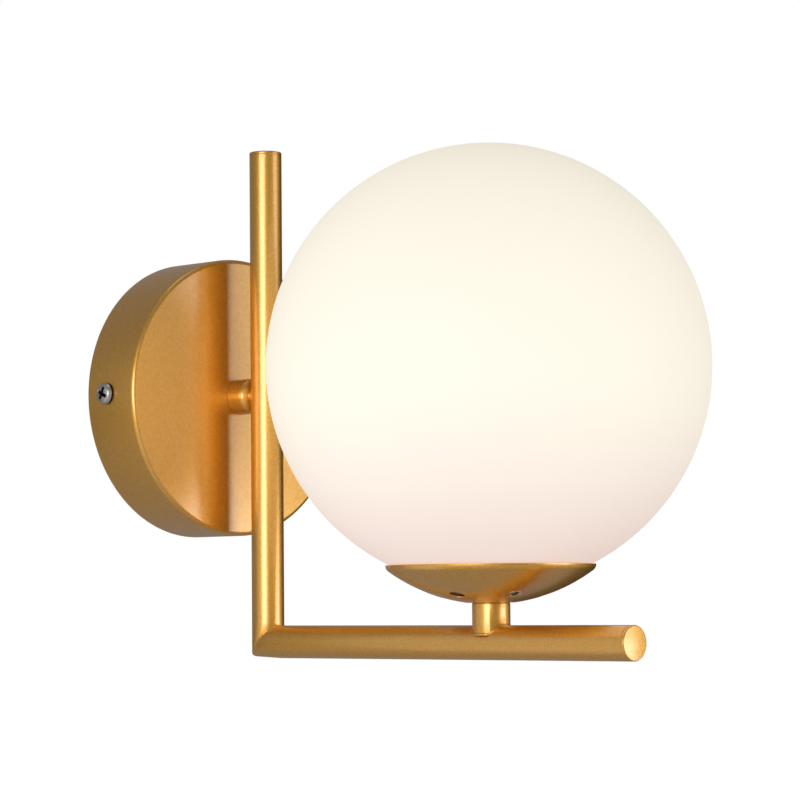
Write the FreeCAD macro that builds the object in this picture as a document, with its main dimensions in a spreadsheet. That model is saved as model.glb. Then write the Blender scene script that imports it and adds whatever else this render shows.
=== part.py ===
import FreeCAD, Part
import Sketcher
import math
import os

# Globe wall sconce. Millimetres, +Z up, the wall is the plane y = 0 and the lamp stands out along -Y.
# The origin is the middle of the mounting bracket on the wall.

os.makedirs("parts", exist_ok=True)
doc = FreeCAD.newDocument("globe_wall_sconce")
sheet = doc.addObject("Spreadsheet::Sheet", "Sizes")

DRIVING_SIZES = {
    # The mitred frame of round tube.
    "tube_radius": 6.0,
    "tube_wall": 1.0,
    "upright_out": 41.0,
    "upright_top": 91.0,
    "arm_drop": 91.5,
    "arm_reach": 218.5,
    "post_out": 154.0,
    "end_cap_face": 1.2,
    "end_cap_plug": 4.0,
    "end_cap_edge": 0.35,
    "plug_clearance": 0.05,
    # The turned collars and the hollow threaded nipples that join them to canopy and cup.
    "collar_radius": 6.6,
    "collar_chamfer": 0.4,
    "thread_radius": 4.95,
    "thread_clearance": 0.05,
    "thread_engagement": 6.0,
    "thread_relief": 0.5,
    "nipple_bore": 3.75,
    "wire_bore": 3.2,
    "nose_radius": 4.0,
    "nose_depth": 2.2,
    "braze_gap": 0.03,
    "nut_flats": 14.0,
    "nut_height": 3.0,
    "washer_radius": 7.6,
    "washer_height": 0.9,
    "hole_clearance": 0.25,
    # The canopy against the wall.
    "canopy_radius": 52.0,
    "canopy_depth": 26.0,
    "canopy_wall": 1.0,
    "canopy_edge": 1.8,
    # The bracket inside it.
    "bracket_width": 16.0,
    "bracket_wall": 1.5,
    "bracket_gap": 0.5,
    "bracket_ear": 15.0,
    "bracket_bend": 1.2,
    "slot_spacing": 58.0,
    "slot_length": 16.0,
    "slot_radius": 2.3,
    "cable_hole": 5.0,
    "tongue_width": 37.0,
    "tongue_neck": 15.0,
    "tongue_drop": 37.0,
    # The machine screws through the canopy's side.
    "side_screw_radius": 1.95,
    "side_screw_out": 10.5,
    "side_screw_length": 8.0,
    "side_head_radius": 4.0,
    "side_head_height": 2.4,
    # Earth screw and its ring lug.
    "earth_screw_across": 15.0,
    "earth_boss_radius": 3.4,
    "earth_boss_rise": 2.0,
    "earth_screw_length": 4.0,
    "earth_head_radius": 3.6,
    "earth_head_height": 2.2,
    "lug_radius": 4.4,
    "lug_sheet": 0.8,
    "lug_barrel_radius": 1.7,
    "lug_barrel_length": 6.0,
    # Terminal block on the bracket's tongue.
    "block_drop": 27.5,
    "block_width": 36.0,
    "block_height": 15.0,
    "block_base": 2.8,
    "block_depth": 12.0,
    "pole_pitch": 8.5,
    "pole_width": 7.4,
    "pole_axis": 5.5,
    "sleeve_radius": 2.6,
    "sleeve_bore": 1.7,
    "sleeve_length": 13.0,
    "block_screw_radius": 1.2,
    "block_screw_spacing": 7.5,
    "fixing_spacing": 30.6,
    "fixing_radius": 1.45,
    "fixing_length": 4.2,
    "fixing_head_radius": 2.6,
    "fixing_head_height": 1.7,
    # The dish under the globe.
    "cup_height": 13.7,
    "cup_wall": 1.0,
    "cup_flat": 8.0,
    "dish_radius": 60.0,
    "rim_radius": 36.3,
    "rim_corner": 2.6,
    "post_foot": 3.1,
    "cup_screw_circle": 19.5,
    "cup_screw_heading": 247.0,
    "cup_screw_radius": 1.75,
    "cup_screw_length": 6.5,
    "cup_head_radius": 3.0,
    "cup_head_rim": 0.1,
    "cup_head_play": 0.1,
    "vent_radius": 2.75,
    "screw_clearance": 0.2,
    # The spring clips that grip the globe's mouth from inside.
    "clip_width": 8.0,
    "clip_sheet": 0.5,
    "clip_seat_gap": 0.36,
    "clip_heel": 4.0,
    "clip_toe": 5.0,
    "clip_mouth_gap": 0.55,
    "clip_shoulder": 4.0,
    "clip_tip_rise": 11.0,
    "clip_tip_lean": 3.0,
    "clip_nut_flats": 6.0,
    "clip_nut_height": 2.4,
    # The opal globe and the soft ring under it.
    "globe_radius": 77.0,
    "globe_wall": 3.0,
    "mouth_radius": 29.0,
    "ring_radius": 0.5,
    "seat_inset": 3.0,
    # The small screw-base lampholder.
    "holder_radius": 13.5,
    "holder_wall": 1.6,
    "holder_boss": 8.0,
    "holder_floor": 6.5,
    "holder_base_length": 17.0,
    "holder_spigot": 4.0,
    "holder_length": 46.5,
    "holder_fit": 0.1,
    "holder_edge": 0.8,
    "insert_height": 6.0,
    "insert_wire_spread": 5.0,
    "insert_wire_hole": 1.3,
    "insert_screw_spread": 5.5,
    "insert_screw_radius": 1.4,
    "shell_bore": 7.0,
    "shell_sheet": 0.5,
    "shell_flange": 8.6,
    "tongue_sheet": 0.4,
    "tongue_rise": 3.0,
    "tongue_half": 2.5,
    # The lamp.
    "lamp_radius": 22.5,
    "lamp_length": 78.0,
    "lamp_cap_radius": 6.9,
    "lamp_cap_taper": 2.0,
    "lamp_insulator": 2.5,
    "lamp_contact_radius": 2.4,
    "lamp_contact_height": 1.2,
    "lamp_neck_radius": 10.5,
    "lamp_seam_drop": 4.0,
    "lamp_rest": 0.3,
    # Insulated conductors.
    "conductor_radius": 1.0,
    "conductor_spread": 1.2,
    "conductor_bend": 4.5,
    "gathering_bend": 6.0,
    "nipple_bend": 4.2,
    "fork_bend": 2.5,
    "earth_bend": 3.0,
    "earth_run": 3.0,
    "cross_slot": 0.9,
    "cross_span": 0.55,
    "cross_depth": 0.6,
}

for row, (alias, value) in enumerate(DRIVING_SIZES.items(), start=1):
    sheet.set(f"A{row}", alias)
    sheet.set(f"B{row}", str(value))
    sheet.setAlias(f"B{row}", alias)
doc.recompute()


class Size:
    """A length that knows its value and the sheet expression it comes from."""

    def __init__(self, value, text):
        self.value = float(value)
        self.text = text

    @staticmethod
    def of(other):
        if isinstance(other, Size):
            return other
        return Size(other, repr(float(other)))

    def __add__(self, other):
        other = Size.of(other)
        return Size(self.value + other.value, f"({self.text} + {other.text})")

    def __sub__(self, other):
        other = Size.of(other)
        return Size(self.value - other.value, f"({self.text} - {other.text})")

    def __mul__(self, other):
        other = Size.of(other)
        return Size(self.value * other.value, f"({self.text} * {other.text})")

    def __truediv__(self, other):
        other = Size.of(other)
        return Size(self.value / other.value, f"({self.text} / {other.text})")

    def __neg__(self):
        return Size(-self.value, f"(0 - {self.text})")

    def __radd__(self, other):
        return Size.of(other) + self

    def __rsub__(self, other):
        return Size.of(other) - self

    def __rmul__(self, other):
        return Size.of(other) * self


class Sheet:
    """Every driving size by name."""

    def __getattr__(self, alias):
        return Size(sheet.get(alias), f"Sizes.{alias}")


d = Sheet()


def root(square):
    return Size(math.sqrt(square.value), f"sqrt({square.text})")


def leg(hypotenuse, other_leg):
    """The other short side of a right triangle."""
    return root(hypotenuse * hypotenuse - other_leg * other_leg)


# Drawing in sketches.

def vector(x, y, z=0.0):
    return FreeCAD.Vector(x, y, z)


def bind(thing, path, size):
    """Set a property from the sheet."""
    thing.setExpression(path, Size.of(size).text)


def constrain(sketch, *parts, size):
    index = sketch.addConstraint(Sketcher.Constraint(*parts, size.value))
    if "Sizes." in size.text:
        sketch.setExpression(f"Constraints[{index}]", size.text)


def pin_point(sketch, edge, end, x, y):
    """Fix a point at x, y, on the sketch's axes where they are zero."""
    on_vertical = isinstance(x, (int, float)) and x == 0
    on_horizontal = isinstance(y, (int, float)) and y == 0
    if on_vertical and on_horizontal:
        sketch.addConstraint(Sketcher.Constraint("Coincident", edge, end, -1, 1))
        return
    if on_vertical:
        sketch.addConstraint(Sketcher.Constraint("PointOnObject", edge, end, -2))
    else:
        constrain(sketch, "DistanceX", -1, 1, edge, end, size=Size.of(x))
    if on_horizontal:
        sketch.addConstraint(Sketcher.Constraint("PointOnObject", edge, end, -1))
    else:
        constrain(sketch, "DistanceY", -1, 1, edge, end, size=Size.of(y))


def arc_between(start, finish, radius, turn):
    """The short arc from start to finish, anticlockwise for turn = 1 and clockwise for -1."""
    chord = finish - start
    middle = (start + finish) * 0.5
    rise = math.sqrt(max(radius ** 2 - (chord.Length / 2) ** 2, 0.0))
    left = vector(-chord.y, chord.x) * (1 / chord.Length)
    centre = middle + left * (rise * turn)
    first, last = (start, finish) if turn > 0 else (finish, start)
    angles = [math.atan2(p.y - centre.y, p.x - centre.x) for p in (first, last)]
    if angles[1] < angles[0]:
        angles[1] += 2 * math.pi
    return Part.ArcOfCircle(Part.Circle(centre, vector(0, 0, 1), radius), *angles)


def draw_loop(sketch, corners):
    """A closed outline. A corner is (x, y), or (x, y, radius, turn) where an arc leaves it."""
    first = sketch.GeometryCount
    count = len(corners)
    ends = []
    for index, corner in enumerate(corners):
        here = vector(Size.of(corner[0]).value, Size.of(corner[1]).value)
        following = corners[(index + 1) % count]
        there = vector(Size.of(following[0]).value, Size.of(following[1]).value)
        if len(corner) == 4:
            radius, turn = corner[2], corner[3]
            sketch.addGeometry(arc_between(here, there, radius.value, turn), False)
            ends.append((1, 2) if turn > 0 else (2, 1))
        else:
            sketch.addGeometry(Part.LineSegment(here, there), False)
            ends.append((1, 2))
    for index in range(count):
        following = (index + 1) % count
        joint = ("Coincident", first + index, ends[index][1], first + following, ends[following][0])
        sketch.addConstraint(Sketcher.Constraint(*joint))
    for index, corner in enumerate(corners):
        pin_point(sketch, first + index, ends[index][0], corner[0], corner[1])
        if len(corner) == 4:
            constrain(sketch, "Radius", first + index, size=corner[2])


def draw_circle(sketch, x, y, radius):
    edge = sketch.GeometryCount
    centre = vector(Size.of(x).value, Size.of(y).value)
    sketch.addGeometry(Part.Circle(centre, vector(0, 0, 1), radius.value), False)
    pin_point(sketch, edge, 3, x, y)
    constrain(sketch, "Radius", edge, size=radius)


def rectangle(width, height, x=0, y=0):
    """Corners of a rectangle whose middle is at x, y."""
    half_w, half_h = Size.of(width) / 2, Size.of(height) / 2
    return [
        (x - half_w, y - half_h),
        (x + half_w, y - half_h),
        (x + half_w, y + half_h),
        (x - half_w, y + half_h),
    ]


def slot_outline(length, radius, x):
    """A slot with round ends, along the sketch's first axis."""
    reach = length / 2 - radius
    return [
        (x - reach, -radius),
        (x + reach, -radius, radius, 1),
        (x + reach + radius, 0, radius, 1),
        (x + reach, radius),
        (x - reach, radius, radius, 1),
        (x - reach - radius, 0, radius, 1),
    ]


def hexagon(flats):
    """Corners of a nut's outline with its flats this far apart."""
    corner = flats / math.sqrt(3)
    side = corner / 2
    half = flats / 2
    return [(corner, 0), (side, half), (-side, half), (-corner, 0), (-side, -half), (side, -half)]


# Building bodies.

BODIES = []


def new_body(label):
    body = doc.addObject("PartDesign::Body", label)
    body.Label = label
    BODIES.append(body)
    return body


def origin_feature(body, role):
    return [feature for feature in body.Origin.OriginFeatures if feature.Role == role][0]


def new_sketch(body, plane, height=None):
    """A sketch on one of the body's own planes, or lifted off it by height."""
    sketch = body.newObject("Sketcher::SketchObject", f"{body.Label}_sketch")
    sketch.AttachmentSupport = [(origin_feature(body, plane), "")]
    sketch.MapMode = "FlatFace"
    if height is not None:
        sketch.AttachmentOffset = FreeCAD.Placement(vector(0, 0, height.value), FreeCAD.Rotation())
        bind(sketch, "AttachmentOffset.Base.z", height)
    return sketch


def revolve(body, corners):
    """A solid of revolution about the body's Z axis, from an outline in its XZ plane."""
    sketch = new_sketch(body, "XZ_Plane")
    draw_loop(sketch, corners)
    doc.recompute()
    turning = body.newObject("PartDesign::Revolution", f"{body.Label}_revolution")
    turning.Profile = sketch
    turning.ReferenceAxis = (sketch, ["V_Axis"])
    turning.Angle = 360
    doc.recompute()
    return turning


def pad(body, plane, loops, length, height=None, both_ways=False, circles=()):
    sketch = new_sketch(body, plane, height)
    for loop in loops:
        draw_loop(sketch, loop)
    for circle in circles:
        draw_circle(sketch, *circle)
    doc.recompute()
    block = body.newObject("PartDesign::Pad", f"{body.Label}_pad")
    block.Profile = sketch
    block.SideType = "Symmetric" if both_ways else "One side"
    bind(block, "Length", length)
    doc.recompute()
    return block


def pocket(body, plane, length, loops=(), circles=(), height=None, both_ways=False):
    """A cut from a sketch. It must take material away, or its direction is wrong."""
    before = body.Shape.Volume
    sketch = new_sketch(body, plane, height)
    for loop in loops:
        draw_loop(sketch, loop)
    for circle in circles:
        draw_circle(sketch, *circle)
    doc.recompute()
    cut = body.newObject("PartDesign::Pocket", f"{body.Label}_pocket")
    cut.Profile = sketch
    cut.SideType = "Symmetric" if both_ways else "One side"
    bind(cut, "Length", length)
    doc.recompute()
    if body.Shape.Volume > before - 1e-6:
        raise ValueError(f"{body.Label}: a pocket cuts nothing")
    return cut


def around(body, feature, count):
    """Repeat a feature round the body's Z axis."""
    pattern = body.newObject("PartDesign::PolarPattern", f"{body.Label}_pattern")
    pattern.Originals = [feature]
    pattern.Axis = (origin_feature(body, "Z_Axis"), [""])
    pattern.Angle = 360
    pattern.Occurrences = count
    body.Tip = pattern
    doc.recompute()
    return pattern


def round_cut(body, form, sizes, base, rotation):
    """Cut a cylinder or a cone out of the body, from a base point along the rotated Z."""
    before = body.Shape.Volume
    tool = body.newObject(f"PartDesign::Subtractive{form}", f"{body.Label}_bore")
    tool.AttachmentSupport = [(origin_feature(body, "XY_Plane"), "")]
    tool.MapMode = "FlatFace"
    tool.AttachmentOffset = FreeCAD.Placement(vector(*(Size.of(v).value for v in base)), rotation)
    for axis, value in zip("xyz", base):
        bind(tool, f"AttachmentOffset.Base.{axis}", value)
    for name, value in sizes.items():
        bind(tool, name, value)
    doc.recompute()
    if body.Shape.Volume > before - 1e-6:
        raise ValueError(f"{body.Label}: a bore cuts nothing")
    return tool


def cylinder_cut(body, radius, length, base, rotation):
    return round_cut(body, "Cylinder", {"Radius": radius, "Height": length}, base, rotation)


def cone_cut(body, wide, narrow, length, base, rotation):
    return round_cut(body, "Cone", {"Radius1": wide, "Radius2": narrow, "Height": length}, base, rotation)


def place(thing, x, y, z, rotation=None):
    position = vector(*(Size.of(value).value for value in (x, y, z)))
    thing.Placement = FreeCAD.Placement(position, rotation or FreeCAD.Rotation())
    for axis, value in zip("xyz", (x, y, z)):
        bind(thing, f"Placement.Base.{axis}", value)


def group(label, members):
    """Several separate solids of one kind in one node."""
    joined = doc.addObject("Part::Compound", label)
    joined.Label = label
    joined.Links = members
    for member in members:
        BODIES.remove(member)
    BODIES.append(joined)
    doc.recompute()
    return joined


X_AXIS, Y_AXIS, Z_AXIS = vector(1, 0, 0), vector(0, 1, 0), vector(0, 0, 1)
# Local Z points out of the wall, local Y stays up.
OUTWARD = FreeCAD.Rotation(X_AXIS, 90)


def turned_about(axis, degrees):
    return FreeCAD.Rotation(axis, degrees)


# Shapes that repeat.

def cross_recess(body, radius, head_radius, depth, level=None):
    """Sink a cross into a screw's head, from its top at this level, or at z = 0."""
    span = head_radius * d.cross_span * 2
    width = radius * d.cross_slot / 2
    arm, half = span / 2, width / 2
    cross = [
        (-arm, -half), (-half, -half), (-half, -arm), (half, -arm), (half, -half), (arm, -half),
        (arm, half), (half, half), (half, arm), (-half, arm), (-half, half), (-arm, half),
    ]
    pocket(body, "XY_Plane", depth, loops=[cross], height=level)


def pan_screw(label, radius, length, head_radius, head_height):
    """A pan head screw with a cross recess: its seat at z = 0, the head above, the shank below."""
    body = new_body(label)
    shoulder = head_height * 0.55
    crown = head_radius * 0.55
    bulge = head_radius * 0.7
    tip = radius * 0.8
    revolve(body, [
        (0, -length),
        (tip, -length),
        (radius, -length + (radius - tip)),
        (radius, 0),
        (head_radius, 0),
        (head_radius, shoulder, bulge, 1),
        (crown, head_height),
        (0, head_height),
    ])
    cross_recess(body, radius, head_radius, head_height * d.cross_depth, head_height)
    return body


def flat_screw(label, radius, length, head_radius, rim):
    """A countersunk screw with a cross recess: its flat top at z = 0, the cone and shank below."""
    body = new_body(label)
    tip = radius * 0.8
    cone = head_radius - radius
    revolve(body, [
        (0, -length),
        (tip, -length),
        (radius, -length + (radius - tip)),
        (radius, -(rim + cone)),
        (head_radius, -rim),
        (head_radius, 0),
        (0, 0),
    ])
    cross_recess(body, radius, head_radius, cone * d.cross_depth)
    return body


def hex_nut(label, flats, height, bore):
    body = new_body(label)
    pad(body, "XY_Plane", [hexagon(flats)], height, circles=[(0, 0, bore)])
    return body


def nipple(label, length):
    """A hollow threaded rod with chamfered ends, standing on z = 0."""
    body = new_body(label)
    chamfer = d.collar_chamfer
    revolve(body, [
        (d.nipple_bore, 0),
        (d.thread_radius - chamfer, 0),
        (d.thread_radius, chamfer),
        (d.thread_radius, length - chamfer),
        (d.thread_radius - chamfer, length),
        (d.nipple_bore, length),
    ])
    return body


def split_washer(label):
    """A spring washer, cut through on one side."""
    body = new_body(label)
    bore = d.thread_radius + d.thread_clearance * 3
    revolve(body, [
        (bore, 0),
        (d.washer_radius, 0),
        (d.washer_radius, d.washer_height),
        (bore, d.washer_height),
    ])
    gap = d.washer_height
    beyond = d.washer_radius * 1.2
    split = rectangle(beyond, gap, beyond / 2, 0)
    pocket(body, "XY_Plane", d.washer_height * 3, loops=[split], both_ways=True)
    return body


def end_cap(label):
    """A disc that closes a tube's end, with a plug that sits in the bore. Its face is z = 0, plug below."""
    body = new_body(label)
    plug = d.tube_radius - d.tube_wall - d.plug_clearance
    edge = d.end_cap_edge
    revolve(body, [
        (0, -(d.end_cap_face + d.end_cap_plug)),
        (plug - edge, -(d.end_cap_face + d.end_cap_plug)),
        (plug, -(d.end_cap_face + d.end_cap_plug - edge)),
        (plug, -d.end_cap_face),
        (d.tube_radius, -d.end_cap_face),
        (d.tube_radius, -edge, edge, 1),
        (d.tube_radius - edge, 0),
        (0, 0),
    ])
    return body


def conductor(label, points, bends):
    """One insulated wire: straight runs joined by tangent arcs, a bend radius for each inner point."""
    points = [vector(*(Size.of(v).value for v in point)) for point in points]
    edges = []
    start = points[0]
    for before, corner, after, radius in zip(points, points[1:], points[2:], bends):
        arriving = (corner - before).normalize()
        leaving = (after - corner).normalize()
        half_turn = arriving.getAngle(leaving) / 2
        reach = radius * math.tan(half_turn)
        entry = corner - arriving * reach
        leave = corner + leaving * reach
        inward = (leaving - arriving).normalize()
        middle = corner + inward * (radius / math.cos(half_turn) - radius)
        edges.append(Part.LineSegment(start, entry).toShape())
        edges.append(Part.Arc(entry, middle, leave).toShape())
        start = leave
    edges.append(Part.LineSegment(start, points[-1]).toShape())
    path = Part.Wire(edges)
    tangent = (points[1] - points[0]).normalize()
    section = Part.Wire([Part.Circle(points[0], tangent, d.conductor_radius.value).toShape()])
    solid = path.makePipeShell([section], True, False)
    expected = math.pi * d.conductor_radius.value ** 2 * path.Length
    print(f"{label}: bends {bends}, length {path.Length:.1f}, volume ratio {solid.Volume / expected:.4f}")
    feature = doc.addObject("Part::Feature", label)
    feature.Label = label
    feature.Shape = solid
    BODIES.append(feature)
    return feature


# The wall bracket: a bent strip with two slots for wall screws and tapped ears.
# A tongue carries the terminal block, a boss the earth screw.

bracket_reach = leg(d.canopy_radius - d.canopy_wall, d.bracket_width / 2) - d.bracket_gap
bracket = new_body("mounting_bracket")
pad(bracket, "XZ_Plane", [[
    (-bracket_reach + d.bracket_bend, 0),
    (bracket_reach - d.bracket_bend, 0, d.bracket_bend, 1),
    (bracket_reach, d.bracket_bend),
    (bracket_reach, d.bracket_ear),
    (bracket_reach - d.bracket_wall, d.bracket_ear),
    (bracket_reach - d.bracket_wall, d.bracket_wall),
    (-bracket_reach + d.bracket_wall, d.bracket_wall),
    (-bracket_reach + d.bracket_wall, d.bracket_ear),
    (-bracket_reach, d.bracket_ear),
    (-bracket_reach, d.bracket_bend, d.bracket_bend, 1),
]], d.bracket_width, both_ways=True)
tongue_half, neck_half = d.tongue_width / 2, d.tongue_neck / 2
tongue_shoulder = -(d.block_drop - d.block_height / 2)
pad(bracket, "XY_Plane", [[
    (-neck_half, 0),
    (-neck_half, tongue_shoulder),
    (-tongue_half, tongue_shoulder),
    (-tongue_half, -d.tongue_drop),
    (tongue_half, -d.tongue_drop),
    (tongue_half, tongue_shoulder),
    (neck_half, tongue_shoulder),
    (neck_half, 0),
]], d.bracket_wall)
boss_face = d.bracket_wall + d.earth_boss_rise
pad(bracket, "XY_Plane", [], boss_face, circles=[(d.earth_screw_across, 0, d.earth_boss_radius)])
pocket(bracket, "XY_Plane", boss_face * 3,
       circles=[(d.earth_screw_across, 0, d.side_screw_radius + d.thread_clearance)], both_ways=True)
fixing_tapping = d.fixing_radius + d.thread_clearance
fixing_places = [side * d.fixing_spacing / 2 for side in (-1, 1)]
pocket(bracket, "XY_Plane", d.bracket_wall * 3,
       loops=[slot_outline(d.slot_length, d.slot_radius, side * d.slot_spacing / 2) for side in (-1, 1)],
       circles=[(0, 0, d.cable_hole)] + [(across, -d.block_drop, fixing_tapping) for across in fixing_places],
       both_ways=True)
pocket(bracket, "YZ_Plane", bracket_reach * 3,
       circles=[(0, d.side_screw_out, d.side_screw_radius + d.thread_clearance)], both_ways=True)
place(bracket, 0, 0, 0, OUTWARD)

# The canopy: a spun shell, open towards the wall, with a hole for the nipple and one each side for a screw.

canopy = new_body("canopy")
inner_edge = d.canopy_edge - d.canopy_wall
canopy_hole = d.thread_radius + d.hole_clearance
revolve(canopy, [
    (d.canopy_radius - d.canopy_wall, 0),
    (d.canopy_radius, 0),
    (d.canopy_radius, d.canopy_depth - d.canopy_edge, d.canopy_edge, 1),
    (d.canopy_radius - d.canopy_edge, d.canopy_depth),
    (canopy_hole, d.canopy_depth),
    (canopy_hole, d.canopy_depth - d.canopy_wall),
    (d.canopy_radius - d.canopy_edge, d.canopy_depth - d.canopy_wall, inner_edge, -1),
    (d.canopy_radius - d.canopy_wall, d.canopy_depth - d.canopy_edge),
])
pocket(canopy, "YZ_Plane", d.canopy_radius * 3,
       circles=[(0, d.side_screw_out, d.side_screw_radius + d.screw_clearance)], both_ways=True)
place(canopy, 0, 0, 0, OUTWARD)

side_screws = []
for side in (-1, 1):
    screw = pan_screw("side_screw", d.side_screw_radius, d.side_screw_length, d.side_head_radius,
                      d.side_head_height)
    place(screw, side * d.canopy_radius, -d.side_screw_out, 0, turned_about(Y_AXIS, 90 * side))
    side_screws.append(screw)
group("canopy_side_screws", side_screws)

# The earth screw holds a ring lug against the bracket.
lug_face = boss_face + d.lug_sheet
lug = new_body("earth_ring_lug")
pad(lug, "XY_Plane", [], d.lug_sheet,
    circles=[(0, 0, d.lug_radius), (0, 0, d.side_screw_radius + d.screw_clearance)])
neck_length = d.lug_barrel_radius * 1.6
neck_top = -leg(d.lug_radius, d.lug_barrel_radius) + d.lug_sheet * 0.4
pad(lug, "XY_Plane", [[
    (-d.lug_barrel_radius, neck_top - neck_length),
    (d.lug_barrel_radius, neck_top - neck_length),
    (d.lug_barrel_radius, neck_top),
    (-d.lug_barrel_radius, neck_top),
]], d.lug_sheet)
barrel_top = d.lug_radius + neck_length / 2
barrel_axis = d.lug_barrel_radius
pad(lug, "XZ_Plane", [], d.lug_barrel_length, height=barrel_top,
    circles=[(0, barrel_axis, d.lug_barrel_radius), (0, barrel_axis, d.conductor_radius + d.plug_clearance)])
place(lug, d.earth_screw_across, -boss_face, 0, OUTWARD)

earth_screw = pan_screw("earth_screw", d.side_screw_radius, d.earth_screw_length, d.earth_head_radius,
                        d.earth_head_height)
place(earth_screw, d.earth_screw_across, -lug_face, 0, OUTWARD)

# The terminal block: a moulded base with three poles, each with a brass sleeve and two screws.

block = new_body("terminal_block")
pad(block, "XY_Plane", [rectangle(d.block_width, d.block_height)], d.block_base)
for pole in (-1, 0, 1):
    pad(block, "XY_Plane", [rectangle(d.pole_width, d.block_height, pole * d.pole_pitch, 0)], d.block_depth)
pocket(block, "XZ_Plane", d.block_height * 2,
       circles=[(pole * d.pole_pitch, d.pole_axis, d.sleeve_radius) for pole in (-1, 0, 1)], both_ways=True)
pocket(block, "XY_Plane", d.block_base * 3, both_ways=True,
       circles=[(across, 0, d.fixing_radius + d.screw_clearance) for across in fixing_places])
pocket(block, "XY_Plane", d.block_depth - d.pole_axis, height=d.block_depth,
       circles=[(pole * d.pole_pitch, end * d.block_screw_spacing / 2,
                 d.block_screw_radius + d.screw_clearance)
                for pole in (-1, 0, 1) for end in (-1, 1)])
block_middle = (0, -d.bracket_wall, -d.block_drop)
place(block, *block_middle, OUTWARD)

sleeves = []
screws = []
for pole in (-1, 0, 1):
    sleeve = new_body("terminal_sleeve")
    sleeve_outer = d.sleeve_radius - d.plug_clearance
    pad(sleeve, "XY_Plane", [], d.sleeve_length, circles=[(0, 0, sleeve_outer), (0, 0, d.sleeve_bore)])
    place(sleeve, pole * d.pole_pitch, -(d.bracket_wall + d.pole_axis), -(d.block_drop + d.sleeve_length / 2))
    sleeves.append(sleeve)
    for end in (-1, 1):
        screw = new_body("terminal_screw")
        screw_length = d.block_depth - d.pole_axis - sleeve_outer - d.plug_clearance
        pad(screw, "XY_Plane", [], screw_length * 0.8, circles=[(0, 0, d.block_screw_radius)])
        slot = rectangle(d.block_screw_radius * 3, d.block_screw_radius * 0.4)
        pocket(screw, "XY_Plane", screw_length * 0.25, loops=[slot], height=screw_length * 0.8)
        place(screw, pole * d.pole_pitch, -(d.bracket_wall + d.pole_axis + sleeve_outer + d.plug_clearance),
              -d.block_drop + end * d.block_screw_spacing / 2, OUTWARD)
        screws.append(screw)
group("terminal_sleeves", sleeves)
group("terminal_screws", screws)
fixings = []
for across in fixing_places:
    fixing = pan_screw("fixing_screw", d.fixing_radius, d.fixing_length, d.fixing_head_radius,
                       d.fixing_head_height)
    place(fixing, across, -(d.bracket_wall + d.block_base), -d.block_drop, OUTWARD)
    fixings.append(fixing)
group("terminal_fixing_screws", fixings)

# Canopy hardware on the stem's axis: nipple, spring washer and lock nut, pulled against the canopy's inside.

inside_face = d.canopy_depth - d.canopy_wall
stem_length = d.upright_out - d.tube_radius - d.canopy_depth
canopy_stack = d.canopy_wall + d.washer_height + d.nut_height
canopy_nipple_length = d.thread_engagement + canopy_stack + d.thread_relief * 4
canopy_nipple = nipple("canopy_nipple", canopy_nipple_length)
place(canopy_nipple, 0, -(d.canopy_depth + d.thread_engagement - canopy_nipple_length), 0, OUTWARD)
canopy_washer = split_washer("canopy_lock_washer")
place(canopy_washer, 0, -(inside_face - d.washer_height), 0, OUTWARD)
canopy_nut = hex_nut("canopy_lock_nut", d.nut_flats, d.nut_height, d.thread_radius + d.thread_clearance)
place(canopy_nut, 0, -(inside_face - d.washer_height - d.nut_height), 0, OUTWARD)

# The wall stem: a turned collar with a nose that is brazed into the upright.

stem = new_body("wall_stem")
tapped = d.thread_radius + d.thread_clearance
nose = d.nose_radius - d.braze_gap
revolve(stem, [
    (tapped, 0),
    (d.collar_radius, 0),
    (d.collar_radius, stem_length - d.collar_chamfer),
    (d.collar_radius - d.collar_chamfer, stem_length),
    (nose, stem_length),
    (nose, stem_length + d.nose_depth),
    (d.wire_bore, stem_length + d.nose_depth),
    (d.wire_bore, d.thread_engagement + d.thread_relief),
    (tapped, d.thread_engagement + d.thread_relief),
])
place(stem, 0, -d.canopy_depth, 0, OUTWARD)

# The upright: its lower end is mitred, its side has the hole for the stem's nose.

tube_bore = d.tube_radius - d.tube_wall
upright_length = d.arm_drop + d.upright_top - d.end_cap_face


def mitred_tube(label, length, inner):
    """A tube along Z, its foot cut at 45 degrees. The corner's inside is towards +Y (1) or -Y (-1)."""
    body = new_body(label)
    revolve(body, [
        (tube_bore, -d.tube_radius),
        (d.tube_radius, -d.tube_radius),
        (d.tube_radius, length),
        (tube_bore, length),
    ])
    beyond = d.tube_radius * 2
    pocket(body, "YZ_Plane", d.tube_radius * 4,
           loops=[[(inner * beyond, beyond), (inner * beyond, -beyond), (-inner * beyond, -beyond)]],
           both_ways=True)
    return body


upright = mitred_tube("upright_tube", upright_length, -1)
pocket(upright, "XZ_Plane", d.tube_radius * 2, circles=[(0, d.arm_drop, d.nose_radius)])
place(upright, 0, -d.upright_out, -d.arm_drop)
upright_cap = end_cap("upright_end_cap")
place(upright_cap, 0, -d.upright_out, d.upright_top)

# The arm: the same tube laid along -Y, with a hole in its top for the wires to the cup.

arm_length = d.arm_reach - d.upright_out - d.end_cap_face
arm = mitred_tube("arm_tube", arm_length, 1)
post_along = d.post_out - d.upright_out
pocket(arm, "XZ_Plane", d.tube_radius * 2, circles=[(0, post_along, d.nose_radius)])
place(arm, 0, -d.upright_out, -d.arm_drop, OUTWARD)
arm_cap = end_cap("arm_end_cap")
place(arm_cap, 0, -d.arm_reach, -d.arm_drop, OUTWARD)

# The cup post: a collar whose foot is cut to straddle the arm.

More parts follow.
